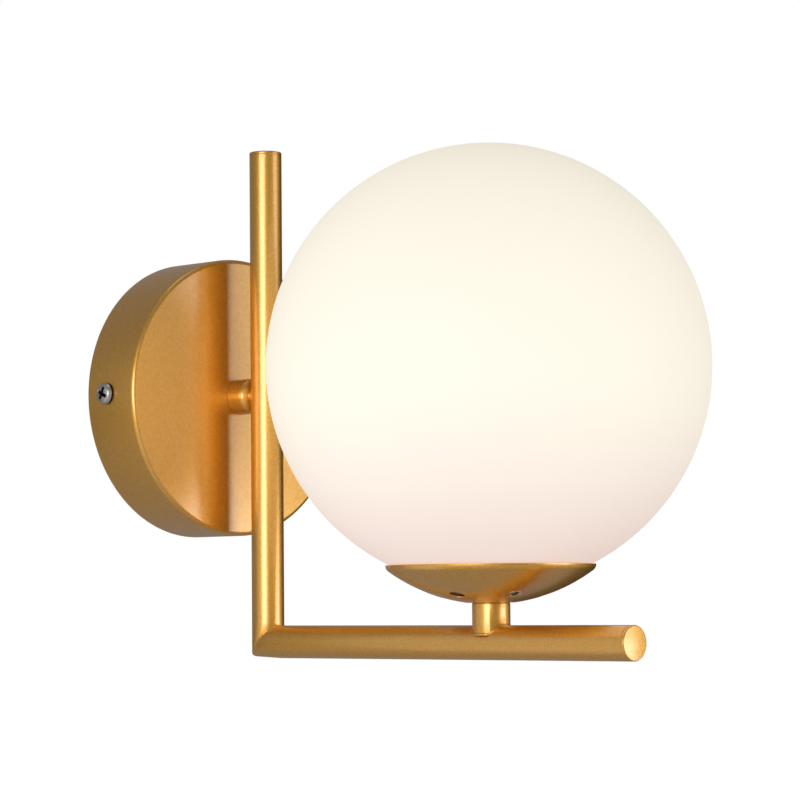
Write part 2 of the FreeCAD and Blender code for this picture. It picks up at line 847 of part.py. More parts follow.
on_post = (0, -d.post_out, -d.arm_drop)
post = new_body("cup_post")
revolve(post, [
    (d.wire_bore, d.post_foot),
    (d.collar_radius, d.post_foot),
    (d.collar_radius, d.cup_height - d.collar_chamfer),
    (d.collar_radius - d.collar_chamfer, d.cup_height),
    (tapped, d.cup_height),
    (tapped, d.cup_height - d.thread_engagement - d.thread_relief),
    (d.wire_bore, d.cup_height - d.thread_engagement - d.thread_relief),
])
pocket(post, "XZ_Plane", d.collar_radius * 3, circles=[(0, 0, d.tube_radius + d.braze_gap)], both_ways=True)
place(post, *on_post)

# The cup: a shallow spun dish with a flat middle and a tight turn-up at the rim.

dish_centre = d.cup_height + leg(d.dish_radius, d.cup_flat)
corner_across = d.rim_radius - d.rim_corner
corner_drop = leg(d.dish_radius - d.rim_corner, corner_across)
rim_level = dish_centre - corner_drop


def on_dish(radius):
    """Where the bowl's curve, at this radius, runs into the rim's corner."""
    share = radius / (d.dish_radius - d.rim_corner)
    return corner_across * share, dish_centre - corner_drop * share


inner_dish = d.dish_radius - d.cup_wall
inner_corner = d.rim_corner - d.cup_wall
cup = new_body("cup")
cup_hole = d.thread_radius + d.hole_clearance
floor_inside = d.cup_height + d.cup_wall
flat_inside = leg(inner_dish, dish_centre - floor_inside)
revolve(cup, [
    (cup_hole, d.cup_height),
    (d.cup_flat, d.cup_height, d.dish_radius, 1),
    (*on_dish(d.dish_radius), d.rim_corner, 1),
    (d.rim_radius, rim_level),
    (d.rim_radius - d.cup_wall, rim_level, inner_corner, -1),
    (*on_dish(inner_dish), inner_dish, -1),
    (flat_inside, floor_inside),
    (cup_hole, floor_inside),
])
slope = math.asin(d.cup_screw_circle.value / d.dish_radius.value)
slope_degrees = math.degrees(slope)


def on_slope(inward, heading):
    """A place on the screw's axis, this far inside the dish's outer face, seen from the post's foot."""
    across = d.cup_screw_circle * (1 - inward / d.dish_radius)
    rise = dish_centre - leg(d.dish_radius, d.cup_screw_circle) * (1 - inward / d.dish_radius)
    angle = math.radians(heading)
    return across * math.cos(angle), across * math.sin(angle), rise


CLIP_COUNT = 3
clip_headings = [d.cup_screw_heading.value + 360 / CLIP_COUNT * index for index in range(CLIP_COUNT)]
vent_heading = clip_headings[0] - 180 / CLIP_COUNT


def into_dish(heading):
    """Local Z along the dish's inward normal at the screw circle."""
    return turned_about(Z_AXIS, heading).multiply(turned_about(Y_AXIS, -slope_degrees))


def out_of_dish(heading):
    return turned_about(Z_AXIS, heading).multiply(turned_about(Y_AXIS, 180 - slope_degrees))


start = on_slope(d.cup_wall * -2, clip_headings[0])
screw_hole = cylinder_cut(cup, d.cup_screw_radius + d.screw_clearance, d.cup_wall * 5, start,
                          into_dish(clip_headings[0]))
around(cup, screw_hole, CLIP_COUNT)
sink_wide = d.cup_head_radius + d.cup_head_rim + d.cup_head_play
sink_narrow = d.cup_screw_radius + d.screw_clearance
countersink = cone_cut(cup, sink_wide, sink_narrow, sink_wide - sink_narrow,
                       on_slope(Size.of(0), clip_headings[0]), into_dish(clip_headings[0]))
around(cup, countersink, CLIP_COUNT)
start = on_slope(d.cup_wall * -2, vent_heading)
vent = cylinder_cut(cup, d.vent_radius, d.cup_wall * 5, start, into_dish(vent_heading))
around(cup, vent, CLIP_COUNT)
place(cup, *on_post)

# Cup hardware: nipple up from the post, washer and lock nut inside the dish.

washer_foot = floor_inside
nut_foot = washer_foot + d.washer_height
holder_foot = nut_foot + d.nut_height
cup_nipple_foot = d.cup_height - d.thread_engagement
cup_nipple_length = holder_foot + d.thread_engagement - cup_nipple_foot
cup_nipple = nipple("cup_nipple", cup_nipple_length)
place(cup_nipple, 0, -d.post_out, cup_nipple_foot - d.arm_drop)
cup_washer = split_washer("cup_lock_washer")
place(cup_washer, 0, -d.post_out, washer_foot - d.arm_drop)
cup_nut = hex_nut("cup_lock_nut", d.nut_flats, d.nut_height, d.thread_radius + d.thread_clearance)
place(cup_nut, 0, -d.post_out, nut_foot - d.arm_drop)

# Three leaf springs stand round the dish, each held by a screw from below and a nut.
# They reach up into the globe's mouth, whose height follows from the ring it rests on near the rim.

inner_slope_across = inner_dish * math.sin(slope)
inner_slope_level = dish_centre - inner_dish * math.cos(slope)
seat_across = d.rim_radius - d.seat_inset
seat_gap = d.ring_radius + d.plug_clearance * 3
seat_level = dish_centre - leg(inner_dish - seat_gap, seat_across)
globe_height = seat_level + leg(d.globe_radius + seat_gap, seat_across)
mouth_foot = globe_height - leg(d.globe_radius, d.mouth_radius)


def along_slope(along, lift):
    """A point beside the screw's place on the dish's inner face, in the clip's own r, z plane."""
    across = inner_slope_across + along * math.cos(slope) - lift * math.sin(slope)
    level = inner_slope_level + along * math.sin(slope) + lift * math.cos(slope)
    return across, level


def spring_clip():
    body = new_body("globe_clip")
    grip = d.mouth_radius - d.clip_mouth_gap
    shoulder_low = mouth_foot + d.clip_sheet
    shoulder_high = shoulder_low + d.clip_shoulder
    sheet_in = d.clip_sheet
    lower, upper = d.clip_seat_gap, d.clip_seat_gap + d.clip_sheet
    pad(body, "XZ_Plane", [[
        along_slope(-d.clip_heel, lower),
        along_slope(d.clip_toe, lower),
        (grip, shoulder_low),
        (grip, shoulder_high),
        (grip - d.clip_tip_lean, mouth_foot + d.clip_tip_rise),
        (grip - d.clip_tip_lean - sheet_in, mouth_foot + d.clip_tip_rise),
        (grip - sheet_in, shoulder_high),
        (grip - sheet_in, shoulder_low + sheet_in / 3),
        along_slope(d.clip_toe - sheet_in / 3, upper),
        along_slope(-d.clip_heel, upper),
    ]], d.clip_width, both_ways=True)
    hole = (inner_slope_across, 0, inner_slope_level)
    cylinder_cut(body, d.cup_screw_radius + d.screw_clearance, d.clip_sheet * 6, hole,
                 turned_about(Y_AXIS, -slope_degrees))
    return body


clips, cup_screws, clip_nuts = [], [], []
stack = d.cup_wall + d.clip_seat_gap + d.clip_sheet
for heading in clip_headings:
    clip = spring_clip()
    place(clip, *on_post, turned_about(Z_AXIS, heading))
    clips.append(clip)
    screw = flat_screw("cup_screw", d.cup_screw_radius, d.cup_screw_length, d.cup_head_radius,
                       d.cup_head_rim)
    across, along, level = on_slope(Size.of(0), heading)
    place(screw, across, along - d.post_out, level - d.arm_drop, out_of_dish(heading))
    cup_screws.append(screw)
    nut = hex_nut("clip_nut", d.clip_nut_flats, d.clip_nut_height, d.cup_screw_radius + d.thread_clearance)
    across, along, level = on_slope(stack, heading)
    place(nut, across, along - d.post_out, level - d.arm_drop, into_dish(heading))
    clip_nuts.append(nut)
group("globe_clips", clips)
group("cup_screws", cup_screws)
group("clip_nuts", clip_nuts)

# The globe: a blown opal shell with a round mouth, resting on a soft ring in the rim.

globe = new_body("globe")
inner_globe = d.globe_radius - d.globe_wall
lip_head = globe_height - leg(inner_globe, d.mouth_radius)
revolve(globe, [
    (d.mouth_radius, mouth_foot, d.globe_radius, 1),
    (0, globe_height + d.globe_radius),
    (0, globe_height + inner_globe, inner_globe, -1),
    (d.mouth_radius, lip_head),
])
place(globe, *on_post)

ring = doc.addObject("Part::Torus", "globe_seat_ring")
ring.Label = "globe_seat_ring"
bind(ring, "Radius1", seat_across)
bind(ring, "Radius2", d.ring_radius)
place(ring, 0, -d.post_out, seat_level - d.arm_drop)
BODIES.append(ring)

# The lampholder: a base tapped for the nipple, a body, a ceramic insert, a screw shell and a contact tongue.

holder_base_top = holder_foot + d.holder_base_length
holder_top = holder_foot + d.holder_length
holder_bore = d.holder_radius - d.holder_wall
base_shoulder = holder_foot + (d.holder_radius - d.holder_boss) * 0.8
holder_base = new_body("lampholder_base")
revolve(holder_base, [
    (tapped, holder_foot),
    (d.holder_boss, holder_foot),
    (d.holder_radius, base_shoulder),
    (d.holder_radius, holder_base_top),
    (holder_bore, holder_base_top),
    (holder_bore, holder_foot + d.holder_floor),
    (tapped, holder_foot + d.holder_floor),
])
place(holder_base, *on_post)

spigot_radius = holder_bore - d.holder_fit
spigot_foot = holder_base_top - d.holder_spigot
insert_radius = spigot_radius - d.holder_wall - d.holder_fit
insert_foot = spigot_foot
insert_top = insert_foot + d.insert_height
throat = d.shell_flange + d.holder_fit
holder_body = new_body("lampholder_body")
revolve(holder_body, [
    (spigot_radius - d.holder_wall, spigot_foot),
    (spigot_radius, spigot_foot),
    (spigot_radius, holder_base_top),
    (d.holder_radius, holder_base_top),
    (d.holder_radius, holder_top - d.holder_edge),
    (d.holder_radius - d.holder_edge, holder_top),
    (throat, holder_top),
    (throat, insert_top + d.holder_fit),
    (spigot_radius - d.holder_wall, insert_top + d.holder_fit),
])
place(holder_body, *on_post)

insert = new_body("lampholder_insert")
pad(insert, "XY_Plane", [], d.insert_height, height=insert_foot,
    circles=[(0, 0, insert_radius)]
    + [(side * d.insert_wire_spread, 0, d.insert_wire_hole) for side in (-1, 1)]
    + [(0, side * d.insert_screw_spread, d.insert_screw_radius + d.thread_clearance) for side in (-1, 1)])
place(insert, *on_post)

insert_screws = []
for side in (-1, 1):
    screw = new_body("insert_screw")
    pad(screw, "XY_Plane", [], d.insert_height * 0.8, circles=[(0, 0, d.insert_screw_radius)])
    place(screw, 0, -d.post_out + side * d.insert_screw_spread, insert_foot - d.arm_drop)
    insert_screws.append(screw)
group("lampholder_terminal_screws", insert_screws)

shell = new_body("lampholder_screw_shell")
shell_outer = d.shell_bore + d.shell_sheet
shell_top = holder_top - d.holder_edge
revolve(shell, [
    (d.shell_bore, insert_top),
    (d.shell_flange, insert_top),
    (d.shell_flange, insert_top + d.shell_sheet),
    (shell_outer, insert_top + d.shell_sheet),
    (shell_outer, shell_top),
    (d.shell_bore, shell_top),
])
place(shell, *on_post)

tongue = new_body("lampholder_contact")
tongue_top = insert_top + d.tongue_rise
pad(tongue, "XZ_Plane", [[
    (-d.tongue_half * 2, insert_top),
    (d.tongue_half * 2, insert_top),
    (d.tongue_half * 2, insert_top + d.tongue_sheet),
    (-d.tongue_half * 1.4, insert_top + d.tongue_sheet),
    (-d.tongue_half, tongue_top - d.tongue_sheet),
    (d.tongue_half, tongue_top - d.tongue_sheet),
    (d.tongue_half, tongue_top),
    (-d.tongue_half - d.tongue_sheet, tongue_top),
    (-d.tongue_half * 2, insert_top + d.tongue_sheet),
]], d.tongue_half * 1.2, both_ways=True)
place(tongue, *on_post)

# The lamp: contact, insulator, metal cap, moulded housing and opal dome.

contact_foot = tongue_top + d.lamp_rest
insulator_foot = contact_foot + d.lamp_contact_height
cap_foot = insulator_foot + d.lamp_insulator
housing_foot = holder_top + d.lamp_rest
lamp_top = contact_foot + d.lamp_length
dome_centre = lamp_top - d.lamp_radius
seam_level = dome_centre - d.lamp_seam_drop
seam_radius = leg(d.lamp_radius, d.lamp_seam_drop)

lamp_contact = new_body("lamp_contact")
pad(lamp_contact, "XY_Plane", [], d.lamp_contact_height, height=contact_foot,
    circles=[(0, 0, d.lamp_contact_radius)])
place(lamp_contact, *on_post)

lamp_insulator = new_body("lamp_insulator")
cap_small = d.lamp_cap_radius - d.lamp_cap_taper
revolve(lamp_insulator, [
    (0, insulator_foot),
    (d.lamp_contact_radius + d.lamp_cap_taper / 4, insulator_foot),
    (cap_small, cap_foot),
    (0, cap_foot),
])
place(lamp_insulator, *on_post)

lamp_cap = new_body("lamp_cap")
revolve(lamp_cap, [
    (0, cap_foot),
    (cap_small, cap_foot),
    (d.lamp_cap_radius, cap_foot + d.lamp_cap_taper),
    (d.lamp_cap_radius, housing_foot),
    (0, housing_foot),
])
place(lamp_cap, *on_post)

lamp_housing = new_body("lamp_housing")
flare = d.lamp_radius * 1.9
revolve(lamp_housing, [
    (0, housing_foot),
    (d.lamp_neck_radius - d.holder_edge, housing_foot),
    (d.lamp_neck_radius, housing_foot + d.holder_edge, flare, -1),
    (seam_radius, seam_level),
    (0, seam_level),
])
place(lamp_housing, *on_post)

lamp_dome = new_body("lamp_dome")
revolve(lamp_dome, [
    (0, seam_level),
    (seam_radius, seam_level, d.lamp_radius, 1),
    (0, lamp_top),
])
place(lamp_dome, *on_post)

# Wires. Live and neutral run side by side from the block, through stem, upright, arm and post, to the insert.

wire_out = d.bracket_wall + d.pole_axis
insert_end = insert_foot + d.insert_height / 2
fork = (holder_foot + d.holder_floor + insert_foot) / 2
spread = d.conductor_spread
gathering = -(d.block_drop - d.block_height / 2) / 2
for name, pole, side in (("live_wire", -1, -1), ("neutral_wire", 0, 1)):
    across = side * spread
    conductor(name, [
        (pole * d.pole_pitch, -wire_out, -d.block_drop),
        (pole * d.pole_pitch, -wire_out, gathering),
        (across, -wire_out, 0),
        (across, -d.upright_out, 0),
        (across, -d.upright_out, -d.arm_drop),
        (across, -d.post_out, -d.arm_drop),
        (across, -d.post_out, holder_foot + d.holder_floor - d.arm_drop),
        (side * d.insert_wire_spread, -d.post_out, fork - d.arm_drop),
        (side * d.insert_wire_spread, -d.post_out, insert_end - d.arm_drop),
    ], [d.gathering_bend.value, d.nipple_bend.value] + [d.conductor_bend.value] * 3 + [d.fork_bend.value] * 2)

lug_wire_out = boss_face + barrel_axis
lug_wire_top = -(barrel_top + d.lug_barrel_length * 0.3)
conductor("earth_wire", [
    (d.pole_pitch, -wire_out, -d.block_drop),
    (d.pole_pitch, -wire_out, -(d.block_drop - d.block_height / 2 - d.earth_run)),
    (d.earth_screw_across, -lug_wire_out, -(barrel_top + d.lug_barrel_length + d.earth_run)),
    (d.earth_screw_across, -lug_wire_out, lug_wire_top),
], [d.earth_bend.value] * 2)

# Check every object, then write one file for each node.

doc.recompute()
for item in doc.Objects:
    if "Invalid" in item.State or "Error" in item.State:
        raise ValueError(f"{item.Label} failed: {item.State}")
for piece in BODIES:
    if piece.Shape.isNull() or not piece.Shape.isValid():
        raise ValueError(f"{piece.Label} has no valid shape")
for piece in BODIES:
    piece.Shape.exportStep(f"parts/{piece.Label}.step")
    box = piece.Shape.BoundBox
    corners = (box.XMin, box.YMin, box.ZMin, box.XMax, box.YMax, box.ZMax)
    print(f"{piece.Label}: {len(piece.Shape.Solids)} solids, {piece.Shape.Volume / 1000:.3f} cm3, "
          + ", ".join(f"{corner:.2f}" for corner in corners))
print(len(BODIES), "nodes")
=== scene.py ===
import math

import bmesh
import bpy
from mathutils import Matrix, Vector


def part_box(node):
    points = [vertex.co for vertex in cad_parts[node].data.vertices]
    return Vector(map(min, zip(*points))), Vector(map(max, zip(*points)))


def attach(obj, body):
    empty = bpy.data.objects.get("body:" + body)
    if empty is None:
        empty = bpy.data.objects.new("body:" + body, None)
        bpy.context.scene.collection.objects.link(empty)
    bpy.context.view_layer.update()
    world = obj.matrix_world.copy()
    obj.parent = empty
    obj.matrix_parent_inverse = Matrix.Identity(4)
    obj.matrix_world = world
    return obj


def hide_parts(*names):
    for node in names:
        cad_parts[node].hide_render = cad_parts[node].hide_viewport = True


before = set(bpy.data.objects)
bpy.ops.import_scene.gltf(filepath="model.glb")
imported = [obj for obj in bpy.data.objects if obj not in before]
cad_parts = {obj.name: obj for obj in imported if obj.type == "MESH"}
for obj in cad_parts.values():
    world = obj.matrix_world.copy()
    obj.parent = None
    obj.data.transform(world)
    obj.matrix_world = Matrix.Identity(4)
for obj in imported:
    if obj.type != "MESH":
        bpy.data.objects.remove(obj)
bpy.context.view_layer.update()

# The wall bracket: a strip of zinc-plated sheet, slotted for the wall screws, bent up at both ends.
# A wider tongue hangs below it for the terminal block, and a pressed boss takes the earth screw.


class Value:
    """One socket of a finish's nodes, written in sums like a number."""

    def __init__(self, finish, socket):
        self.finish = finish
        self.socket = socket

    def math(self, operation, first, second):
        return self.finish.node("ShaderNodeMath", {"operation": operation}, {0: first, 1: second})

    def __add__(self, other):
        return self.math("ADD", self, other)

    def __sub__(self, other):
        return self.math("SUBTRACT", self, other)

    def __rsub__(self, other):
        return self.math("SUBTRACT", other, self)

    def __mul__(self, other):
        return self.math("MULTIPLY", self, other)

    __radd__ = __add__
    __rmul__ = __mul__


class Finish:
    """A procedural finish that reads where a point of the piece is."""

    def __init__(self, name):
        self.material = bpy.data.materials.new(name)
        self.material.use_nodes = True
        self.tree = self.material.node_tree
        self.shader = self.tree.nodes["Principled BSDF"]
        self.place = self.node("ShaderNodeTexCoord", output="Object")

    def join(self, socket, value):
        if isinstance(value, Value):
            self.tree.links.new(value.socket, socket)
        else:
            socket.default_value = value

    def node(self, kind, settings=None, inputs=None, output=0):
        made = self.tree.nodes.new(kind)
        for name, setting in (settings or {}).items():
            if name == "stops":
                ramp = made.color_ramp
                while len(ramp.elements) < len(setting):
                    ramp.elements.new(0.5)
                for element, (position, colour) in zip(ramp.elements, setting):
                    element.position = position
                    element.color = colour
            else:
                setattr(made, name, setting)
        for name, value in (inputs or {}).items():
            self.join(made.inputs[name], value)
        return Value(self, made.outputs[output])

    def stretched(self, stretch):
        return self.node("ShaderNodeMapping", {}, {"Vector": self.place, "Scale": stretch})

    def noise(self, size_mm, detail=3.0, vector=None):
        return self.node("ShaderNodeTexNoise", {}, {
            "Vector": vector or self.place, "Scale": 1000.0 / size_mm, "Detail": detail, "Roughness": 0.55})

    def grains(self, size_mm):
        """A random shade for each small grain."""
        cells = self.node("ShaderNodeTexVoronoi", {"feature": "F1"},
                          {"Vector": self.place, "Scale": 1000.0 / size_mm}, output="Color")
        return self.node("ShaderNodeSeparateColor", {}, {0: cells}, output="Red")

    def ramp(self, value, *stops):
        stops = [(position, (shade, shade, shade, 1.0)) for position, shade in stops]
        return self.node("ShaderNodeValToRGB", {"stops": stops}, {0: value})

    def mix(self, mask, first, second):
        first, second = [tone if isinstance(tone, Value) else (*tone, 1.0) for tone in (first, second)]
        return self.node("ShaderNodeMix", {"data_type": "RGBA"}, {0: mask, 6: first, 7: second}, output=2)

    def fade(self, value, first, last):
        """1 below the first value, 0 above the last."""
        return self.node("ShaderNodeMapRange", {}, {
            "Value": value, "From Min": first, "From Max": last, "To Min": 1.0, "To Max": 0.0})

    def distance(self, point, stretch=(1.0, 1.0, 1.0)):
        """How far a point of the piece is from this one, in metres."""
        return self.node("ShaderNodeVectorMath", {"operation": "DISTANCE"},
                         {0: self.stretched(stretch), 1: point}, output="Value")

    def relief(self, height, depth_mm, strength=1.0):
        return self.node("ShaderNodeBump", {}, {
            "Height": height, "Distance": depth_mm / 1000, "Strength": strength})

    def surface(self, **sockets):
        for name, value in sockets.items():
            self.join(self.shader.inputs[name.replace("_", " ")], value)
        return self.material


def piece_of(name, mesh, material, body, nodes, sharp=32.0):
    """Give a mesh its finish and smooth faces, and let it stand for its CAD nodes."""
    if material is not None:
        mesh.materials.clear()
        mesh.materials.append(material)
    mesh.polygons.foreach_set("use_smooth", [True] * len(mesh.polygons))
    mesh.set_sharp_from_angle(angle=math.radians(sharp))
    piece = bpy.data.objects.new(name, mesh)
    bpy.context.scene.collection.objects.link(piece)
    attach(piece, body)
    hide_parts(*nodes)


def settled(piece):
    """The piece's mesh with its modifiers worked in. The piece itself goes."""
    graph = bpy.context.evaluated_depsgraph_get()
    mesh = bpy.data.meshes.new_from_object(piece.evaluated_get(graph))
    bpy.data.objects.remove(piece)
    return mesh


def loose(mesh):
    """A working object round a mesh."""
    holder = bpy.data.objects.new("work", mesh)
    bpy.context.scene.collection.objects.link(holder)
    return holder


def broken_edges(mesh, width_mm, angle=38.0):
    """Round off the edges that turn by more than this angle."""
    holder = loose(mesh)
    bevel = holder.modifiers.new("edges", "BEVEL")
    bevel.width = width_mm / 1000
    bevel.segments = 2
    bevel.limit_method = "ANGLE"
    bevel.angle_limit = math.radians(angle)
    bevel.harden_normals = False
    return settled(holder)


def joined_faces(node):
    """A copy of a node's mesh with its triangles joined into whole faces."""
    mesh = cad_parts[node].data.copy()
    work = bmesh.new()
    work.from_mesh(mesh)
    bmesh.ops.remove_doubles(work, verts=work.verts, dist=2e-6)
    bmesh.ops.dissolve_limit(work, angle_limit=math.radians(0.6), verts=work.verts, edges=work.edges)
    work.to_mesh(mesh)
    work.free()
    return mesh


def dressed(node, name, material, edge_mm=0.0, body="fixture", sharp=32.0):
    """Finish a piece whose form in the solids is already whole."""
    mesh = joined_faces(node)
    if edge_mm:
        mesh = broken_edges(mesh, edge_mm)
    piece_of(name, mesh, material, body, [node], sharp)


def zinc_sheet():
    finish = Finish("zinc_plated_sheet")
    rolled = finish.noise(0.5, 4.0, finish.stretched((0.12, 1.0, 1.0)))
    clouds = finish.noise(14.0, 3.0)
    spangle = finish.grains(3.2)
    tone = finish.mix(clouds, (0.52, 0.52, 0.50), (0.68, 0.68, 0.66))
    tone = finish.mix(finish.ramp(spangle, (0.0, 0.0), (1.0, 0.28)), tone, (0.74, 0.75, 0.76))
    return finish.surface(Base_Color=tone, Metallic=1.0, Roughness=0.30 + rolled * 0.16,
                          Normal=finish.relief(rolled, 0.012))


dressed("mounting_bracket", "bracket_strip", zinc_sheet(), edge_mm=0.18)

# Screws: cross-recess pan heads, and countersunk ones for the cup, pressed and rolled from plated wire.
# A master of each size is turned, its recess is sunk and its thread wound on. Then it is set on every
# place of its kind, each screw turned by chance as a driver leaves it.


def along(corners, steps=5):
    """A turning's outline in mm: each corner (radius, height) or, rounded, (radius, height, rounding)."""
    outline = []
    for index, corner in enumerate(corners):
        here = Vector(corner[:2])
        if len(corner) < 3:
            outline.append(tuple(here))
            continue
        before = Vector(corners[index - 1][:2]) - here
        after = Vector(corners[(index + 1) % len(corners)][:2]) - here
        half = before.angle(after) / 2
        back = min(corner[2] / math.tan(half), before.length * 0.49, after.length * 0.49)
        radius = back * math.tan(half)
        first, last = here + before.normalized() * back, here + after.normalized() * back
        centre = here + (before.normalized() + after.normalized()).normalized() * (radius / math.sin(half))
        for step in range(steps + 1):
            point = first.lerp(last, step / steps) - centre
            outline.append(tuple(centre + point.normalized() * radius))
    return outline


def arc(centre_height, radius, first, last, steps):
    """Points on a ball's outline in mm, from one angle above its equator to another."""
    angles = [math.radians(first + (last - first) * step / steps) for step in range(steps + 1)]
    return [(max(radius * math.cos(angle), 0.0), centre_height + radius * math.sin(angle))
            for angle in angles]


def turning(outline, steps=96, place=Matrix()):
    """A closed outline spun round Z, in metres, at its place."""
    work = bmesh.new()
    rings = []
    for step in range(steps):
        turn = 2 * math.pi * step / steps
        across, along_y = math.cos(turn), math.sin(turn)
        rings.append([work.verts.new((radius * across / 1000, radius * along_y / 1000, height / 1000))
                      for radius, height in outline])
    for ring, following in zip(rings, rings[1:] + rings[:1]):
        for index in range(len(outline)):
            onward = (index + 1) % len(outline)
            if outline[index][0] > 0 or outline[onward][0] > 0:
                work.faces.new((ring[index], ring[onward], following[onward], following[index]))
    bmesh.ops.remove_doubles(work, verts=work.verts, dist=1e-7)
    bmesh.ops.recalc_face_normals(work, faces=work.faces)
    mesh = bpy.data.meshes.new("turning")
    work.to_mesh(mesh)
    work.free()
    mesh.transform(place)
    return mesh


def cut(mesh, *cutters):
    """Take other meshes' space out of one."""
    holder = loose(mesh)
    tools = [loose(cutter) for cutter in cutters]
    for tool in tools:
        hole = holder.modifiers.new("hole", "BOOLEAN")
        hole.operation = "DIFFERENCE"
        hole.solver = "EXACT"
        hole.object = tool
    mesh = settled(holder)
    for tool in tools:
        bpy.data.objects.remove(tool)
    return mesh


class Growth:
    """A tree of Geometry Nodes with named inputs, for what repeats."""

    def __init__(self, name):
        self.tree = bpy.data.node_groups.new(name, "GeometryNodeTree")
        self.start = self.tree.nodes.new("NodeGroupInput")
        self.end = self.tree.nodes.new("NodeGroupOutput")
        self.tree.interface.new_socket("Geometry", in_out="OUTPUT", socket_type="NodeSocketGeometry")
        self.ground = self.input("Geometry", "Geometry")

    def input(self, name, kind="Float"):
        self.tree.interface.new_socket(name, in_out="INPUT", socket_type=f"NodeSocket{kind}")
        return self.start.outputs[name]

    def node(self, kind, settings=None, inputs=None, output=0):
        made = self.tree.nodes.new(kind if kind.startswith("Function") else f"GeometryNode{kind}")
        for name, setting in (settings or {}).items():
            setattr(made, name, setting)
        for name, value in (inputs or {}).items():
            for one in value if isinstance(value, list) else [value]:
                if isinstance(one, bpy.types.NodeSocket):
                    self.tree.links.new(one, made.inputs[name])
                else:
                    made.inputs[name].default_value = one
        return made.outputs[output]

    def close(self, geometry):
        material = self.input("Material", "Material")
        whole = self.node("RealizeInstances", {}, {"Geometry": geometry})
        whole = self.node("SetMaterial", {}, {"Geometry": whole, "Material": material})
        self.tree.links.new(whole, self.end.inputs[0])

    def grow(self, mesh, **inputs):
        holder = loose(mesh)
        modifier = holder.modifiers.new("growth", "NODES")
        modifier.node_group = self.tree
        for item in self.tree.interface.items_tree:
            if item.in_out == "INPUT" and item.name in inputs:
                modifier[item.identifier] = inputs[item.name]
        return settled(holder)


winding = Growth("thread_winding")
spiral = winding.node("CurveSpiral", {}, {
    "Resolution": 28, "Rotations": winding.input("Turns"), "Start Radius": winding.input("Radius"),
    "End Radius": winding.start.outputs["Radius"], "Height": winding.input("Length")})
ridge = winding.node("CurvePrimitiveCircle", {}, {"Resolution": winding.input("Sides", "Int"),
                                                  "Radius": winding.input("Ridge")})
wound = winding.node("CurveToMesh", {}, {"Curve": spiral, "Profile Curve": ridge, "Fill Caps": True})
lifted = winding.node("Transform", {}, {"Geometry": wound, "Translation": winding.input("Foot", "Vector")})
winding.close(winding.node("JoinGeometry", {}, {"Geometry": [winding.ground, lifted]}))


def threaded(mesh, material, radius, foot, length, pitch, ridge=None, sides=3):
    """Wind a thread of this pitch in mm round a turning whose core has this radius."""
    ridge = ridge or pitch * 0.36
    return winding.grow(mesh, Turns=length / pitch, Radius=radius / 1000, Length=length / 1000, Sides=sides,
                        Ridge=ridge / 1000, Foot=(0.0, 0.0, foot / 1000), Material=material)


def wedge(width, span, top, depth):
    """One wing of a screwdriver's cross: a block that narrows downwards."""
    work = bmesh.new()
    corners = []
    for level, ease in ((top + 0.4, 1.15), (top - depth, 0.45)):
        for x, y in ((-1, -1), (1, -1), (1, 1), (-1, 1)):
            corners.append(work.verts.new(
                (x * span * ease / 2000, y * width * (0.5 + ease / 2) / 2000, level / 1000)))
    for face in ((3, 2, 1, 0), (4, 5, 6, 7), (0, 1, 5, 4), (1, 2, 6, 5), (2, 3, 7, 6), (3, 0, 4, 7)):
        work.faces.new([corners[index] for index in face])
    bmesh.ops.recalc_face_normals(work, faces=work.faces)
    mesh = bpy.data.meshes.new("wing")
    work.to_mesh(mesh)
    work.free()
    return mesh


def bright_zinc(name="bright_zinc", painted_shade=None):
    """Zinc plating, painted near-black as painted shade wherever the optional shade mask says so."""
    finish = Finish(name)
    clouds = finish.noise(2.2, 3.0)
    fine = finish.noise(0.25, 2.0)
    tone = finish.mix(clouds, (0.46, 0.44, 0.46), (0.62, 0.60, 0.62))
    if painted_shade:
        # Painted shade: the mask's places are coloured near-black.
        tone = finish.mix(painted_shade(finish), tone, (0.02, 0.015, 0.012))
    return finish.surface(Base_Color=tone, Metallic=1.0, Roughness=0.32 + fine * 0.14,
                          Normal=finish.relief(fine, 0.006))


def turned_brass():
    finish = Finish("turned_brass")
    rings = finish.noise(0.35, 2.0, finish.stretched((0.2, 0.2, 1.0)))
    age = finish.noise(3.0, 4.0)
    tone = finish.mix(age, (0.60, 0.40, 0.14), (0.80, 0.60, 0.27))
    return finish.surface(Base_Color=tone, Metallic=1.0, Roughness=0.20 + rings * 0.15,
                          Normal=finish.relief(rings, 0.006))


zinc = bright_zinc()
brass = turned_brass()


def crossed(width, span, top, depth):
    """The two wings of a cross recess."""
    wings = [wedge(width, span, top, depth) for _ in range(2)]
    wings[1].transform(Matrix.Rotation(math.pi / 2, 4, "Z"))
    return wings


def screw_master(radius, length, head_radius, head_height, pitch, material):
    """A pan-head screw along Z: its seat at z = 0, its head up."""
    shank = radius - pitch * 0.3
    outline = along([
        (0, -length), (shank - pitch * 0.3, -length), (shank, -length + pitch * 0.6), (shank, 0),
        (head_radius, 0), (head_radius, head_height * 0.35, 0.25),
        (head_radius * 0.86, head_height * 0.84, head_height * 0.5), (head_radius * 0.5, head_height, 1.0),
        (0, head_height)])
    wings = crossed(head_radius * 0.34, head_radius * 1.40, head_height, head_height * 0.70)
    body = cut(turning(outline, 56), *wings)
    return threaded(body, material, shank, -length + pitch * 0.5, length - pitch * 0.8, pitch)


